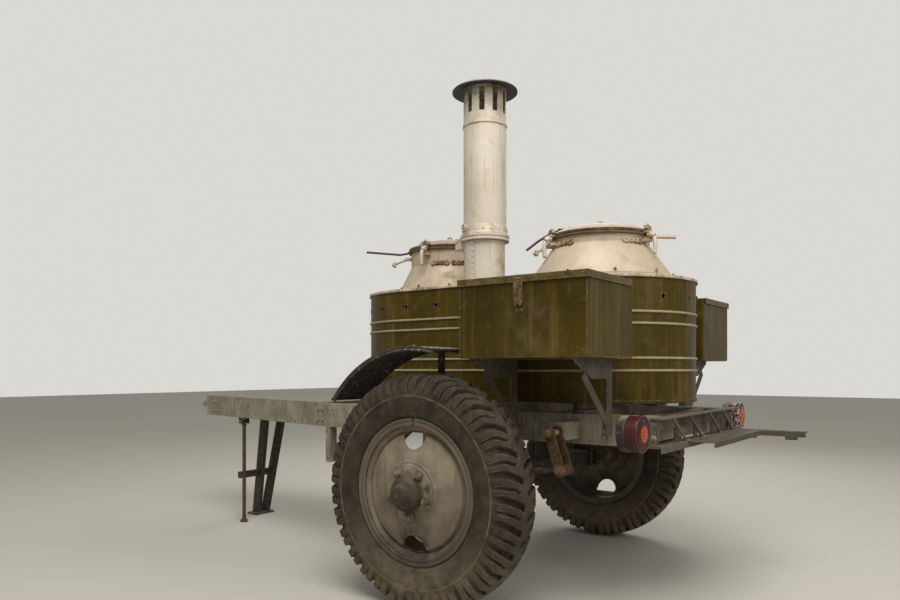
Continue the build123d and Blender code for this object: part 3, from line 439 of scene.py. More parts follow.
# lid edges: soot and rust, darkened further with painted shade under each lid
sooty_shaded_band = rusted_steel("sooty_rust_and_painted_shade_on_lid_edge", "5A4330", "2A2018", "6E5A44")
nut_steel = rusted_steel("zinc_left_on_forged_nut", "74684F", "3A3023", "857A63")
flange_steel = rusted_steel("worn_paint_on_rolled_flange", "756848", "4A3A26", "6E6440")
hasp_steel = rusted_steel("worn_paint_on_pressed_strap", "6E5638", "3E2E1E", "75683F")
leg_steel = rusted_steel("brown_rust_on_drawn_bar", "5F4B36", "33281E", "524A3D")
spring_steel = rusted_steel("rusted_spring_steel", "6B4A30", "2B1F15", "40382C")
scaled_steel = rusted_steel("rusted_hot_rolled_bar")
clamp_steel = rusted_steel("rusted_forged_clamp", "9A6A40", "4A2E1B", "B5A78F")
# matt greys: streaked and palest on the channels, brown on what feet and mud reach
channel_paint = frame_paint("grey_paint_on_rolled_channel", "B0A692", "7A7263", streaks=0.75)
member_paint = frame_paint("worn_grey_paint_on_cross_member", "857C6A", "544D41", 300)
step_paint = frame_paint("grey_paint_on_tread_plate", "5E5543", "39332A", 300, "645A49")
bracket_paint = frame_paint("grey_paint_on_pressed_plate", "6F6756", "474135", 300, "6A604E")
# near black, with the dust that shows on it
greasy_steel = frame_paint("greasy_paint_on_turned_hub", "4A3D2C", "241D14", 200, "5C5140")
stand_paint = frame_paint("black_paint_on_forged_bar", "3A342A", "1D1913")
guard_paint = frame_paint("bitumen_paint_on_rolled_sheet", "3C342A", "1E1913", 300, "9A8E7C")
black_steel = frame_paint("sooty_paint_on_welded_steel", "37322A", "171410", 300)
# the right lamp's lens is crazed white by the sun
red_lens = red_moulding("moulded_red_lens")
faded_lens = red_moulding("crazed_red_lens", [((patches, 13, 0.5, 0.56, 6), "C9B3AC")])

finish_of = {
    "tyre": rubber, "wheel": disc_paint, "axle": black_steel, "leaf_spring": spring_steel,
    "axle_clamp": black_steel, "spring_hangers": channel_paint, "shackle": spring_steel,
    "mudguard": guard_paint, "side_rail": channel_paint, "drawbar": channel_paint,
    "cross_members": member_paint, "stand_tube": stand_paint, "front_stand": stand_paint,
    "prop_bracket": stand_paint, "prop_leg": leg_steel, "rear_beam": bracket_paint,
    "rear_step": step_paint, "tail_lamp_left": red_lens, "tail_lamp_right": faded_lens,
    "casing_feet": black_steel, "casing": casing_enamel, "casing_deck": enamel, "boiler": lid_paint,
    "chimney": chimney_paint, "firebox": black_steel, "fire_door": enamel,
    "fire_door_hinge": black_steel, "box_body": enamel, "box_lid": worn_enamel,
    "box_brackets": bracket_paint,
}
# every node gets the finish under the longest key that its name starts with
for name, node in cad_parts.items():
    key = max((key for key in finish_of if name.startswith(key)), key=len)
    node.data.materials.clear()
    node.data.materials.append(finish_of[key])


# Making small pieces: each maker adds to a mesh in the frame's metres
def facing(place, normal):
    """The matrix that stands a piece's own Z on a surface at a place, along its normal."""
    return Matrix.Translation(place) @ Vector(normal).to_track_quat("Z", "Y").to_matrix().to_4x4()


def upright(x, y=0, z=0):
    """The matrix of an upright axis."""
    return facing(at(x, y, z), (0, 0, 1))


def around(x, turn_deg, radius, z, y=0):
    """The place at a turn and radius round an upright axis."""
    turn = math.radians(turn_deg)
    return x + radius * math.cos(turn), y + radius * math.sin(turn), z


def outward(turn_deg, rise=0):
    """The direction away from an upright axis at a turn, rising by that much for each 1 along."""
    return Vector(around(0, turn_deg, 1, rise))


def turn_outline(bm, outline, stand, steps=24, left_open=0):
    """Turns an outline of (radius, height) pairs in millimetres round the stand's own Z."""
    rings = []
    for radius, height in outline:
        corners = [Vector(around(0, 360 * step / steps, radius, height)) / 1000
                   for step in range(steps if radius else 1)]
        rings.append([bm.verts.new(stand @ corner) for corner in corners])
    for low, high in zip(rings, rings[1:]):
        for step in range(steps - left_open):
            after = (step + 1) % steps
            bm.faces.new(dict.fromkeys([low[step % len(low)], low[after % len(low)],
                                        high[after % len(high)], high[step % len(high)]]))


def hex_bolt(bm, place, normal, across=19, height=9, stud=6):
    """A hexagon head or nut on its washer, with the end of its stud."""
    stand = facing(place, normal)
    turn_outline(bm, [(across * 0.72, -1), (across * 0.72, 2), (across * 0.5, 2.2)], stand, 20)
    turn_outline(bm, [(across * 0.56, 1), (across * 0.57, height), (across * 0.46, height + 2),
                      (0, height + 2)], stand, 6)
    if stud:
        turn_outline(bm, [(across * 0.28, height), (across * 0.28, height + stud),
                          (0, height + stud + 1)], stand, 12)


def rivet(bm, place, normal, radius=6):
    """A round rivet head."""
    turn_outline(bm, [(radius, -1), (radius * 0.92, radius * 0.28), (radius * 0.6, radius * 0.55),
                      (0, radius * 0.66)], facing(place, normal), 14)


def rows_of(maker, bm, xs, ys, zs, normal, *sizes):
    """One rivet or bolt wherever rows of places along X, Y and Z cross."""
    for x in xs:
        for y in ys:
            for z in zs:
                maker(bm, at(x, y, z), normal, *sizes)


def bar(bm, low, high, edge=1.5):
    """A bar between two opposite corners in millimetres from the axle, its edges rounded."""
    made = bmesh.ops.create_cube(bm, size=1.0)["verts"]
    middle = (at(*low) + at(*high)) / 2
    size = at(*high) - at(*low)
    for vert in made:
        vert.co = middle + Vector([part * length for part, length in zip(vert.co, size)])
    edges = list({e for vert in made for e in vert.link_edges})
    bmesh.ops.bevel(bm, geom=edges, offset=edge / 1000, segments=2, affect="EDGES", profile=0.6)


def join_rings(bm, rings, closed=False):
    """Faces between rings of corners, each ring closed on itself."""
    for here, there in zip(rings, rings[1:] + rings[:1] if closed else rings[1:]):
        for step in range(len(here)):
            after = (step + 1) % len(here)
            bm.faces.new([here[step], here[after], there[after], there[step]])


def strip(bm, low, high):
    """Faces between two rows of corners."""
    for index in range(len(low) - 1):
        bm.faces.new([low[index], low[index + 1], high[index + 1], high[index]])


def tube(bm, points, radius, steps=10, closed=False):
    """A round bar or wire through points in millimetres from the axle."""
    way = [at(*point) for point in points]
    count = len(way)
    side = Vector((0, 0, 1))
    rings = []
    for index, place in enumerate(way):
        before = way[index - 1] if index or closed else place
        after = way[(index + 1) % count] if index + 1 < count or closed else place
        run = (after - before).normalized()
        if abs(run.dot(side)) > 0.95:
            side = Vector((1, 0, 0)) if abs(run.x) < 0.9 else Vector((0, 1, 0))
        side = (side - run * run.dot(side)).normalized()
        other = run.cross(side)
        spokes = [side * math.cos(turn) + other * math.sin(turn)
                  for turn in (math.tau * step / steps for step in range(steps))]
        rings.append([bm.verts.new(place + spoke * radius / 1000) for spoke in spokes])
    join_rings(bm, rings, closed)
    if not closed:
        bm.faces.new(list(reversed(rings[0])))
        bm.faces.new(rings[-1])


def wire_ring(bm, place, across, up, radius, steps, stations):
    """A closed wire loop that stands at a place: across is its reach along X and Y, up along Z."""
    x, y, z = place
    turns = [math.tau * station / stations for station in range(stations)]
    tube(bm, [(x + across[0] * math.cos(turn), y + across[1] * math.cos(turn),
               z + up * math.sin(turn)) for turn in turns], radius, steps, True)


def piece(name, bm, finish, body, crease_deg=38, replaces=()):
    """Ends one piece: normals, shading that keeps its creases, its finish and the body it
    rides on."""
    bmesh.ops.recalc_face_normals(bm, faces=bm.faces)
    mesh = bpy.data.meshes.new(name)
    bm.to_mesh(mesh)
    bm.free()
    mesh.polygons.foreach_set("use_smooth", [True] * len(mesh.polygons))
    mesh.set_sharp_from_angle(angle=math.radians(crease_deg))
    mesh.materials.append(finish)
    made = shown(name, mesh)
    if replaces:
        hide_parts(*replaces)
    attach(made, body)


# Tyres: cross-country tread, its shoulder lugs split in two ribs, with slanted gaps between them
lug_count = 30
lug_slant_deg = 24
gap_half_mm, slit_half_mm = 14.5, 6.5
slit_share = 0.6
# place along Y from the tyre's middle and radius, over the lugs, then the same at the bottom of
# the gaps where that differs
tyre_section = [
    (75.5, 263), (75.5, 287), (79, 289), (86, 292), (92, 298), (94, 303), (94, 307), (96, 312),
    (99, 324), (101.5, 340), (103, 355), (103.6, 369), (105, 374), (105, 378),
    (103.8, 381, 103.2, 381), (104.6, 388, 101.4, 387), (104.2, 397, 98, 394),
    (102.6, 408, 94.5, 402), (100.2, 420, 91.2, 410), (97, 431, 88.5, 418), (93.4, 440, 85, 425),
    (89, 447.5, 80, 431), (83, 453, 74, 436), (75, 456.6, 66, 440), (64, 459.6, 57, 443),
    (53, 461.8, 48, 445), (42, 463.2, 39, 446), (30, 464.2, 29, 447), (20, 464.8, 20, 447.6),
    (12, 465, 12, 449), (8, 465, 8, 463), (3, 465),
]


def gap_depth(turn, y):
    """How far into a tread gap a place lies, from 0 on a lug to 1 at the bottom."""
    pitch = math.tau / lug_count
    lean = (abs(y) - 0.6 * tyre_half) * math.tan(math.radians(lug_slant_deg)) / tyre_r
    place = (turn - lean) / pitch - (0.5 if y > 0 else 0)
    to_gap = abs(place - round(place)) * pitch * tyre_r
    to_slit = abs(place + 0.5 - round(place + 0.5)) * pitch * tyre_r
    deep = min(1.0, max(0.0, (gap_half_mm - to_gap) / 6))
    slit = min(1.0, max(0.0, (slit_half_mm - to_slit) / 4)) * slit_share if abs(y) > 34 else 0.0
    return max(deep, slit)


def shoulder_rib(turn, radius):
    """The height, in millimetres, of the fine ribs that run down each lug's side."""
    if radius > 450:
        return 0.0
    share = min(1.0, max(0.0, (radius - 382) / 14)) * min(1.0, (450 - radius) / 10)
    return 1.1 * share * math.cos(turn * lug_count * 8)


def tyre_piece(name, side):
    """One tyre as a closed tube of many rings, its lugs wavy and chipped as on a worn tyre."""
    bm = bmesh.new()
    half = [(spot * 2)[:4] for spot in tyre_section]
    rows = half + [(-y, r, -low_y, low_r) for y, r, low_y, low_r in reversed(half)]
    steps = lug_count * 26
    rings = []
    for step in range(steps):
        turn = math.tau * step / steps
        ring = []
        for y, r, low_y, low_r in rows:
            worn = noise.noise(Vector((math.cos(turn) * 9, math.sin(turn) * 9, y / 26)))
            depth = gap_depth(turn + worn * 0.012, y)
            lift = shoulder_rib(turn, r) - abs(worn) * (1.4 if r > 384 else 0.3)
            across = y + (low_y - y) * depth + (lift if y > 0 else -lift)
            across = max(-tyre_half, min(across, tyre_half))
            out = min(r + (low_r - r) * depth + worn * (1.6 if r > 400 else 0.4), tyre_r)
            ring.append(bm.verts.new(at(out * math.sin(turn), side * (wheel_y + across),
                                        wheel_z + out * math.cos(turn))))
        rings.append(ring)
    join_rings(bm, rings, True)
    piece(f"cross_country_tyre_{name}", bm, rubber, f"wheel_{name}", 32, [f"tyre_{name}"])


# Wheels: split lock ring on the rim, boss round the hub, hub cap, washers, nuts and stud ends
split_turn = 90
nut_circle_r = 90


def wheel_trim(name, side):
    """What is bolted and pressed on to one wheel."""
    body = f"wheel_{name}"
    stand = facing(at(0, side * wheel_y, wheel_z), (0, side, 0))
    rim = bmesh.new()
    split_up = stand @ Matrix.Rotation(math.radians(split_turn * side), 4, "Z")
    lock_ring = [(254.5, 70), (255, 83), (257, 87.5), (262, 89.5), (267, 88.5), (270.5, 85.5),
                 (273, 84.5), (276, 86), (280, 89), (285, 89.5), (288.5, 86.5), (289.2, 82),
                 (288.8, 76)]
    turn_outline(rim, lock_ring, split_up, 160, 1)
    rim_well = [(256, 82), (254, 77), (249, 70), (243, 64.5), (239, 60), (237.5, 54)]
    turn_outline(rim, rim_well, stand, 120)
    piece(f"lock_ring_{name}", rim, disc_paint, body, 50)
    hub = bmesh.new()
    hub_dome = [(70, 106), (71, 116), (70.5, 126), (68, 136), (63.5, 144.5), (57, 152),
                (49.5, 157.5), (42, 161), (40.4, 163), (40.2, 168), (38.6, 173.5), (35, 178.5),
                (29, 182), (20, 184.2), (10, 184.9), (0, 185)]
    turn_outline(hub, hub_dome, stand, 72)
    turn_outline(hub, [(74, 104), (74, 112), (72.5, 114), (70, 114.5)], stand, 72)
    piece(f"hub_cap_{name}", hub, greasy_steel, body, 30)
    boss = bmesh.new()
    turn_outline(boss, [(70, 110), (78, 110.5), (104, 109), (110, 107.5), (113, 104)], stand, 96)
    piece(f"hub_boss_{name}", boss, disc_paint, body, 30)
    nuts = bmesh.new()
    for index in range(5):
        turn = math.radians(72 * (index + 0.5))
        place = at(nut_circle_r * math.sin(turn), side * (wheel_y + 109),
                   wheel_z + nut_circle_r * math.cos(turn))
        nut = facing(place, (0, side, 0)) @ Matrix.Rotation(turn * 1.7, 4, "Z")
        turn_outline(nuts, [(22, -1), (22, 3), (16, 3.6)], nut, 28)
        turn_outline(nuts, [(15.6, 2), (16.4, 4), (16.4, 15), (13.5, 17.5), (0, 17.5)], nut, 6)
        turn_outline(nuts, [(7.5, 17), (7.5, 25), (6, 26.5), (0, 26.5)], nut, 16)
    piece(f"wheel_nuts_{name}", nuts, nut_steel, body)


# Springs and axle
def running_gear_trim(name, side):
    """Nuts, pin ends and spring clips of one side."""
    bm = bmesh.new()
    plate_xs, plate_ys = (-49.5, 49.5), (side * 563, side * 637)
    rows_of(hex_bolt, bm, plate_xs, plate_ys, [562.8], (0, 0, 1), 24, 11, 8)
    rows_of(hex_bolt, bm, plate_xs, plate_ys, [415.5], (0, 0, -1), 24, 10, 4)
    for x, z in ((500, 560.5), (-500, 560.5), (-455, 700.5)):
        hex_bolt(bm, at(x, side * 635.3, z), (0, side, 0), 34, 11, 9)
    clip_parts = ((573, 569, -35, 8), (627, 631, -35, 8), (569, 631, -38, -34))
    for x in (-255, 255):
        top = 550.5 + x * x / 17857
        for low_y, high_y, low, high in clip_parts:
            bar(bm, (x - 13, side * low_y, top + low), (x + 13, side * high_y, top + high), 1)
        tube(bm, [(x, side * 562, top + 4), (x, side * 638, top + 4)], 4)
    piece(f"spring_clips_and_nuts_{name}", bm, scaled_steel, "chassis")


# Frame: rivets and bolts through the rails, weld beads, bolts of the drawbar's nose
rail_front_x = 980
beam_front_x = 2300
rail_low, rail_high = 648, 762


def beam_y(x):
    """Outer face of the drawbar beam at a place along X."""
    return rail_y - (x - rail_front_x) * 233 / (beam_front_x - rail_front_x)


def weld(bm, start, end, radius=4):
    """A hand-laid weld bead: a round bar that swells and wanders a little."""
    run = Vector(end) - Vector(start)
    steps = max(3, int(run.length / 5))
    places = [Vector(start) + run * step / steps for step in range(steps + 1)]
    tube(bm, [place + noise.noise_vector(place * 0.21) * 1.3 for place in places], radius, 6)


def frame_trim():
    """Rivets, bolts and welds of the whole frame as one piece."""
    bm = bmesh.new()
    for side in (1, -1):
        out = (0, side, 0)
        rail = side * rail_y
        member_xs = [x + along for x in (-720, -330, 230, 640, 930) for along in (6, 32)]
        rows_of(rivet, bm, member_xs, [rail], (672, 738), out, 7)
        post_xs = (-598, -168)
        rows_of(hex_bolt, bm, post_xs, [rail + side * 6], (704, 748), out, 20)
        rows_of(hex_bolt, bm, post_xs, (side * 500, side * 690), [981], (0, 0, -1), 17, 8, 8)
        slanted = Vector((233, side * (beam_front_x - rail_front_x), 0)).normalized()
        for x in (1010, 1050, 2235, 2275):
            rows_of(hex_bolt, bm, [x], [side * beam_y(x)], (676, 734), slanted, 18, 7, 0)
        rows_of(rivet, bm, [1890], [side * beam_y(1890)], (690, 722), slanted, 8)
        for x, y in ((rail_front_x, rail), (beam_front_x, side * 195), (-800, rail)):
            weld(bm, (x, y, rail_low), (x, y, rail_high))
        for x in (500, -455):
            for z in (672, 736):
                weld(bm, (x - 33, rail + side, z), (x + 33, rail + side, z), 3.5)
        hex_bolt(bm, at(18, rail + side * 30, 711), (0, 0, 1), 18)
        for x in range(1120, beam_front_x, 168):
            rivet(bm, at(x, side * (beam_y(x) - 28), 770), (0, 0, 1), 7)
        rows_of(hex_bolt, bm, [2360], (side * 45, side * 130), (672, 738), (1, 0, 0), 22)
        rows_of(hex_bolt, bm, [-806], [side * 490], (745, 690), (-1, 0, 0), 18)
    rows_of(rivet, bm, [-840], (-470, -230, 0, 200), [665], (0, 0, 1), 6)
    rows_of(rivet, bm, (-1078, -903), (-502, -476), [664], (0, 0, 1), 5)
    piece("frame_bolts_and_welds", bm, channel_paint, "chassis")


# Tail lamps: steel cup behind, lens with its rim, screws and the orange middle
def lamp_trim(name, side):
    """What is pressed and screwed on to one lamp."""
    stand = facing(at(-822, side * 620, 715), (-1, 0, 0))
    cup = bmesh.new()
    turn_outline(cup, [(0, -77), (62, -77), (65, -74), (66.4, -55), (66.8, -47), (64, -45)],
                 stand, 64)
    piece(f"lamp_cup_{name}", cup, black_steel, "chassis")
    rim = bmesh.new()
    turn_outline(rim, [(65, -14), (67, -12), (67.4, -2), (66, 1.2), (62, 1.8), (59, -1)], stand, 72)
    turn_outline(rim, [(60, -3), (52, 2), (42, 4.6), (33, 5.6), (30.5, 3)], stand, 72)
    for turn in (90, 210, 330):
        rivet(rim, stand @ (Vector(around(0, turn, 46, 4)) / 1000), (-1, 0, 0), 4)
    piece(f"lamp_lens_{name}", rim, red_lens if side > 0 else faded_lens, "chassis")
    middle = bmesh.new()
    turn_outline(middle, [(30.6, 2), (29.4, 6), (24, 8.6), (14, 10.8), (0, 11.8)], stand, 48)
    piece(f"lamp_middle_{name}", middle, amber_lens, "chassis")


# Boilers: skirt of each lid, dark with soot, rust and painted shade, swing handles of its clamps,
# lobed clamp seats and foot bolts.
# Turns are in degrees; a lever's points are its distance past the neck and its height over the rim
boilers = {
    "rear": {"x": casing_rear_x, "neck": 218, "low": 1495, "rim": 1533, "foot": 320,
             "handles": (52, 172, 296), "seats": (71, 153, 277),
             "lever": ((140, 54), (185, 47), (236, 26), (285, -5), (338, -46))},
    "front": {"x": casing_front_x, "neck": 203, "low": 1475, "rim": 1553, "foot": 264,
              "handles": (-26, 94, 214), "seats": (-7, 113, 142, 233),
              "lever": ((150, 50), (196, 28), (222, 2), (262, -5), (440, 9))},
}
lever_turn = 37
hinge_turn = 270


def boiler_trim(name, sizes):
    """The small pieces of one boiler, on the boiler itself and on its lid."""
    x, neck, rim = sizes["x"], sizes["neck"], sizes["rim"]
    lid = f"lid_{name}"
    lid_r = neck + 8
    axis = upright(x)

    def lid_ring(bm, outline, steps):
        turn_outline(bm, [(lid_r + out, rim + up) for out, up in outline], axis, steps)

    skirt = bmesh.new()
    lid_ring(skirt, [(-2, 4.6), (3, 5), (5, 8), (5, 12), (2, 15.5), (-2, 17)], 128)
    # the skirt's dark is partly painted shade under the lid's edge
    piece(f"lid_skirt_{name}", skirt, sooty_shaded_band, lid)
    flange = bmesh.new()
    lid_ring(flange, [(-4, -5.5), (3.5, -5), (5, -3), (5, 2), (3, 3.5), (-2, 4)], 128)
    piece(f"neck_flange_{name}", flange, flange_steel, "chassis")
    crown = bmesh.new()
    lid_ring(crown, [(-3, 16), (3.6, 16.4), (3, 20), (-5, 24), (-14, 29), (-26, 35), (-42, 42),
                     (-64, 48), (-92, 52.5), (-130, 55.5), (30 - lid_r, 58), (-lid_r, 58.4)], 144)
    turn_outline(crown, [(24, rim + 56), (24, rim + 62), (20, rim + 64), (11, rim + 64.5)],
                 axis, 32)
    wire_ring(crown, (x, 0, rim + 76), (8, 6), 10, 4.2, 8, 15)
    piece(f"lid_crown_{name}", crown, crown_paint, lid, 40)
    lever = bmesh.new()
    tube(lever, [around(x, lever_turn, out, rim + up) for out, up in sizes["lever"]], 5.5, 10)
    for out, up in sizes["lever"][:2]:
        rivet(lever, at(*around(x, lever_turn, out, rim + up + 3)), (0, 0, 1), 9)
    piece(f"lid_lever_{name}", lever, leg_steel, lid)
    handles = bmesh.new()
    bolts = bmesh.new()
    for turn in sizes["handles"]:
        head = [(24, -4), (34, -3), (44, -6), (52, -15)]
        shank = [(46, -8), (54, -20), (58, -40), (58, -64), (55, -84)]
        if abs(turn - hinge_turn) < 30:
            head, shank = [(24, 12), (34, 13), (44, 14)], [(40, 14), (60, 16), (78, 20)]
        for points, radius in ((head, 12.5), (shank, 9.2)):
            tube(handles, [around(x, turn, neck + out, rim + up) for out, up in points], radius, 12)
        tip_out, tip_up = shank[-1]
        turn_outline(handles, [(0, -9), (6, -8), (9.4, -3), (9.4, 3), (6, 8), (0, 9)],
                     upright(*around(x, turn, neck + tip_out, rim + tip_up)), 16)
        turn_outline(bolts, [(13, -14), (13, -1), (10, 1), (0, 1)],
                     upright(*around(x, turn, neck + 22, rim + 33)), 6)
        for thread in range(9):
            turn_outline(bolts, [(6, -1.4), (7.2, 0), (6, 1.4)],
                         upright(*around(x, turn, neck + 22, rim - 12 + thread * 3.2)), 14)
    piece(f"clamp_handles_{name}", handles, pale_handle, lid)
    piece(f"clamp_bolts_{name}", bolts, clamp_steel, lid)
    seats = bmesh.new()
    for turn in sizes["seats"]:
        for lobe, size in ((-9.5, 14), (-3, 12), (3, 12), (9.5, 15)):
            seat = facing(at(*around(x, turn + lobe, neck + 3, sizes["low"] + 2)),
                          outward(turn + lobe, 0.35))
            turn_outline(seats, [(size, -12), (size, 5), (size - 3, 8), (size * 0.45, 8),
                                 (size * 0.4, 4), (0, 4)], seat, 20)
    for turn in range(18, 360, 36):
        foot = at(*around(x, turn, sizes["foot"] - 10, 1355))
        hex_bolt(seats, foot, outward(turn, 1), 15, 7, 9)
    piece(f"clamp_seats_{name}", seats, clamp_steel, "chassis")


# Chimney: riveted strap on the stub, rusty sleeve band with its eye, side seam
def chimney_rivet(bm, turn, out, z, radius):
    """One rivet on the chimney's wall."""
    rivet(bm, at(*around(chimney_x, turn, out, z, chimney_y)), outward(turn), radius)


def chimney_trim():
    """Straps, bands, rivets and seams of the chimney."""
    axis = upright(chimney_x, chimney_y)
    strap = bmesh.new()
    strap_start = Matrix.Rotation(math.radians(36), 4, "Z")
    turn_outline(strap, [(91, 1336), (94.6, 1336.6), (94.6, 1525.4), (91, 1526)],
                 Matrix.Translation(at(chimney_x, chimney_y, 0)) @ strap_start, 120, 101)
    for turn in (40, 88):
        for z in range(1350, 1520, 26):
            chimney_rivet(strap, turn, 94.5, z, 4.5)
    piece("chimney_strap", strap, pale_handle, "chassis")
    band = bmesh.new()
    turn_outline(band, [(97, 1596), (103.6, 1592), (104.6, 1588), (104.6, 1562), (106, 1558),
                        (112.6, 1555), (113, 1542), (110, 1541.4)], axis, 96)
    eye_x, eye_y, eye_z = around(chimney_x, 68, 115, 1584, chimney_y)
    wire_ring(band, (eye_x, eye_y, eye_z), (-13.5, 5.5), 14.5, 4.5, 10, 12)
    bar(band, (eye_x - 8, eye_y - 12, 1556), (eye_x + 8, eye_y - 2, 1572), 1.5)
    hex_bolt(band, at(eye_x, eye_y - 8, eye_z), outward(68), 14, 7, 6)
    for turn in range(0, 360, 20):
        chimney_rivet(band, turn, 104, 1575, 4.5)
    piece("chimney_band", band, flaking_paint, "chimney")
    foot = bmesh.new()
    turn_outline(foot, [(100, 1539.6), (110.5, 1539), (112.4, 1540.4), (112.6, 1543)], axis, 96)
    piece("chimney_band_foot", foot, scaled_steel, "chimney")
    seam = bmesh.new()
    for z in range(1625, 2040, 30):
        chimney_rivet(seam, 212, 98, z, 3.5)
    low, high = [[seam.verts.new(at(*around(chimney_x, turn, 98.8, z, chimney_y)))
                  for turn in (208, 211, 214, 217)] for z in (1600, 2046)]
    strip(seam, low, high)
    for turn in range(26, 360, 36):
        chimney_rivet(seam, turn, 97.6, 2205, 4)
    piece("chimney_seam", seam, chimney_paint, "chimney")


# Boxes: hasp strap with its slot and staple, rivets of hinge and hasp, corner welds
hasp_outline = [(-18, 1284), (18, 1284), (18, 1196), (15, 1180), (8, 1170), (0, 1167), (-8, 1170),
                (-15, 1180), (-18, 1196)]
hasp_slot = [(-4.5, 1236), (4.5, 1236), (4.5, 1208), (3, 1204), (0, 1202), (0, 1202), (0, 1202),
             (-3, 1204), (-4.5, 1208)]


def box_trim(name, side):
    """The small pieces of one box and of its lid."""
    out = (0, side, 0)
    hasp = bmesh.new()
    rings = [[hasp.verts.new(at(box_x + x, side * y, z)) for x, z in outline]
             for y in (821, 827.2) for outline in (hasp_outline, hasp_slot)]
    for index in range(len(hasp_outline)):
        after = (index + 1) % len(hasp_outline)
        for first, second in ((0, 1), (2, 3), (0, 2), (1, 3)):
            corners = [rings[first][index], rings[first][after],
                       rings[second][after], rings[second][index]]
            if len({tuple(vert.co) for vert in corners}) == 4:
                hasp.faces.new(corners)
    for x in (-16.5, 16.5):
        bar(hasp, (box_x + x - 1.8, side * 826.5, 1198), (box_x + x + 1.8, side * 830, 1280), 1)
    bar(hasp, (box_x - 18, side * 826, 1268), (box_x + 18, side * 829.4, 1274), 1)
    rows_of(rivet, hasp, [box_x], [side * 827], (1262, 1250), out, 5)
    turn_outline(hasp, [(13, -1), (13, 2.5), (9.5, 3.5), (9.5, 7.5), (6, 9.5), (0, 10)],
                 facing(at(box_x, side * 825.5, 1193), out), 20)
    piece(f"box_hasp_{name}", hasp, hasp_steel, f"box_lid_{name}")
    body = bmesh.new()
    bar(body, (box_x - 15, side * 815, 1150), (box_x + 15, side * 818, 1166), 1)
    rows_of(rivet, body, (box_x - 10, box_x + 10), [side * 818], [1158], out, 3.5)
    rows_of(rivet, body, (-659, box_x, -210), [side * 424.5], (1262, 1232), (0, -side, 0), 4)
    for x in (-701, -168):
        tube(body, [(x, side * 814, z) for z in range(992, 1260, 24)], 2.4, 8)
    piece(f"box_staple_and_corners_{name}", body, worn_enamel, "chassis")
    edge = bmesh.new()
    foot_corners = ((-700, 430), (-700, 812), (-169, 812), (-169, 430))
    tube(edge, [(x, side * y, 988.5) for x, y in foot_corners], 3.4, 8)
    piece(f"box_foot_edge_{name}", edge, hasp_steel, "chassis")
    lid = bmesh.new()
    lid_corners = ((-708, 448), (-708, 821.5), (-161, 821.5), (-161, 448))
    tube(lid, [(x, side * y, 1261) for x, y in lid_corners], 2.6, 8)
    rows_of(rivet, lid, (-640, -540, -330, -230), [side * 462], [1286], (0, 0, 1), 5)
    piece(f"box_lid_edge_{name}", lid, worn_enamel, f"box_lid_{name}")


# Casing: rims of the vent holes, lap seams with their rivets, catches of the fire doors
def around_casing(share):
    """Place on the casing's wall and the outward turn there, at a share of the way round."""
    run, arc = casing_front_x - casing_rear_x, math.pi * casing_r
    way = share * 2 * (run + arc)
    if way < run:
        return casing_rear_x + way, casing_r, 90
    way -= run
    if way < arc:
        turn = 90 - 180 * way / arc
        return *around(casing_front_x, turn, casing_r, 0)[:2], turn
    way -= arc
    if way < run:
        return casing_front_x - way, -casing_r, -90
    turn = -90 - 180 * (way - run) / arc
    return *around(casing_rear_x, turn, casing_r, 0)[:2], turn


def casing_trim():
    """Rims, seams and rivets on the casing's wall."""
    vent_count, vent_height = 24, 1242
    rims = bmesh.new()
    for index in range(vent_count):
        x, y, turn = around_casing((index + 0.5) / vent_count)
        turn_outline(rims, [(9.4, -4), (9.6, 0.6), (10.6, 1.6), (13, 1.3), (14.2, -0.5)],
                     facing(at(x, y, vent_height), outward(turn)), 24)
    piece("vent_rims", rims, worn_enamel, "chassis")
    seams = bmesh.new()
    for share in (0.115, 0.61, 0.86):
        x, y, turn = around_casing(share)
        out = outward(turn)
        lap = [Vector(around(x, turn + 90, along, 0, y)) + out * lift
               for along, lift in ((-14, -0.5), (-13, 1.8), (13, 1.8), (14, -0.5))]
        low, high = [[seams.verts.new(at(spot.x, spot.y, z)) for spot in lap] for z in (818, 1312)]
        strip(seams, low, high)
        for z in range(832, 1310, 34):
            if min(abs(z - bead) for bead in bead_heights) > 10:
                rivet(seams, at(x, y, z) + out * 0.0015, out, 3.6)
    piece("casing_seams", seams, casing_enamel, "chassis")
    crowns = bmesh.new()
    places = [around_casing(index / 240) for index in range(240)]
    for height in bead_heights:
        rows = [[at(*around(x, turn, inset, height + lift, y)) for x, y, turn in places]
                for lift, inset in ((-4.4, 4.2), (-2.6, 6), (2.6, 6), (4.4, 4.2))]
        join_rings(crowns, [[crowns.verts.new(corner) for corner in row] for row in rows])
    piece("casing_bead_crowns", crowns, pale_bead_tone, "chassis")
    doors = bmesh.new()
    for x, hinge_side in ((330, 1), (-20, -1)):
        rows_of(rivet, doors, [x + hinge_side * 114], [-419], (836, 874, 912), (0, -1, 0), 4)
        catch = x - hinge_side * 108
        bar(doors, (catch - 9, -422, 858), (catch + 9, -casing_r, 892), 1)
        rows_of(rivet, doors, [catch], [-422], (862, 888), (0, -1, 0), 3.5)
    piece("fire_door_catches", doors, clamp_steel, "chassis")


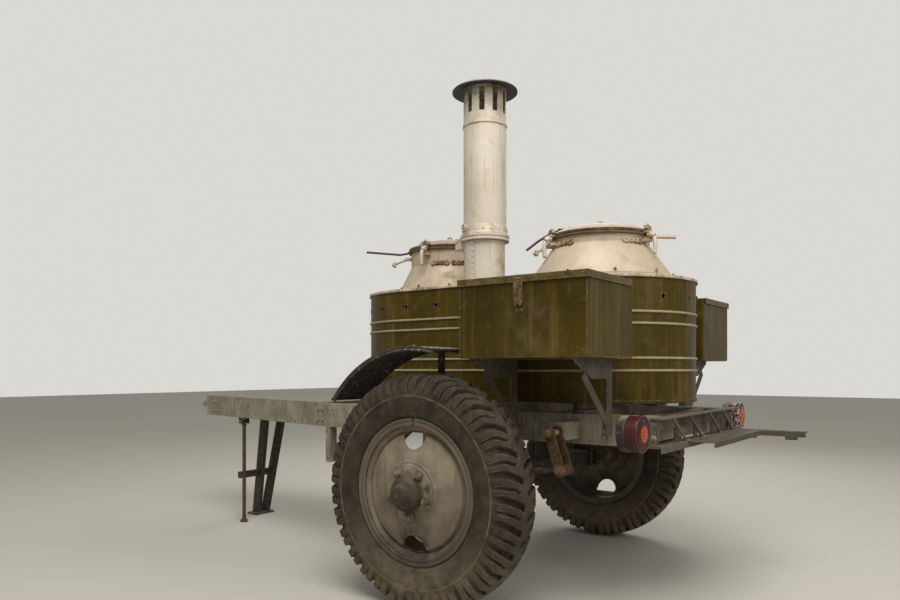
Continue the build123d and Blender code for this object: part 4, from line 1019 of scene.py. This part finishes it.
# Mudguards
def guard_trim(name, side):
    """The rolled wire edges and the bolts of one mudguard."""
    guard_x, guard_z = 8, 502

    def on_guard(turn, radius, y):
        x, z = around(guard_x, turn, radius, 0, guard_z)[:2]
        return x, side * y, z

    bm = bmesh.new()
    for y in (692, 903):
        tube(bm, [on_guard(turn, 517, y) for turn in range(36, 104, 3)], 5, 10)
    for turn in (36.3, 102.7):
        tube(bm, [on_guard(turn, 531, y) for y in (690, 693, 700, 797, 895, 902, 905)], 5.5, 10)
    rows_of(hex_bolt, bm, [18], [side * 690], (730, 990), (0, side, 0), 16, 6, 5)
    rows_of(hex_bolt, bm, [18], (side * 720, side * 870), [1034], (0, 0, 1), 14, 5, 0)
    piece(f"guard_edges_{name}", bm, guard_paint, "chassis")


# Stand, thin leg and towing eye
def drawbar_trim():
    """Collars and pins of the stand, the thin leg and the eye."""
    stand = bmesh.new()
    for side in (1, -1):
        turn_outline(stand, [(28.5, 0), (31, 2), (31, 7), (28, 9), (17, 9)],
                     facing(at(1910, side * 85, 687), (0, side, 0)), 32)
        weld(stand, (2016, side * 60, 10), (2074, side * 60, 10), 3.5)
    weld(stand, (1975, 60, 297), (1975, -60, 297), 3.5)
    for y, stud in ((190, 10), (60, 6)):
        hex_bolt(stand, at(1986, y, 277), (1, 0, 0), 20, 8, stud)
    piece("stand_collars", stand, stand_paint, "stand")
    leg = bmesh.new()
    axis = upright(leg_x, leg_y)
    turn_outline(leg, [(11, 590), (15, 594), (15, 600), (11, 604)], axis, 24)
    turn_outline(leg, [(11, 22), (17, 16), (23, 9), (24.4, 7)], axis, 32)
    for z in range(120, 240, 6):
        turn_outline(leg, [(10.8, z - 2), (12, z), (10.8, z + 2)], axis, 20)
    piece("thin_leg_thread", leg, leg_steel, "prop")
    eye = bmesh.new()
    turn_outline(eye, [(38.2, -16), (37.2, -12), (37.2, 12), (38.2, 16)], upright(2563, 0, 705), 64)
    turn_outline(eye, [(46, 15), (46, 20), (36, 22), (36, 34), (26, 37), (22, 37)],
                 facing(at(2360, 0, 705), (1, 0, 0)), 6)
    for y, out in ((213, -1), (269, 1)):
        hex_bolt(eye, at(leg_x, y, 619), (0, out, 0), 15, 6, 4)
    piece("eye_ring_and_nut", eye, scaled_steel, "chassis")


sides = (("left", 1), ("right", -1))
for name, side in sides:
    tyre_piece(name, side)
for name, side in sides:
    wheel_trim(name, side)
    running_gear_trim(name, side)
    lamp_trim(name, side)
    box_trim(name, side)
    guard_trim(name, side)
frame_trim()
for name, sizes in boilers.items():
    boiler_trim(name, sizes)
chimney_trim()
casing_trim()
drawbar_trim()


sizes = {"cad_box": cad_box, "visual_box": [list(corner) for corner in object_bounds()]}
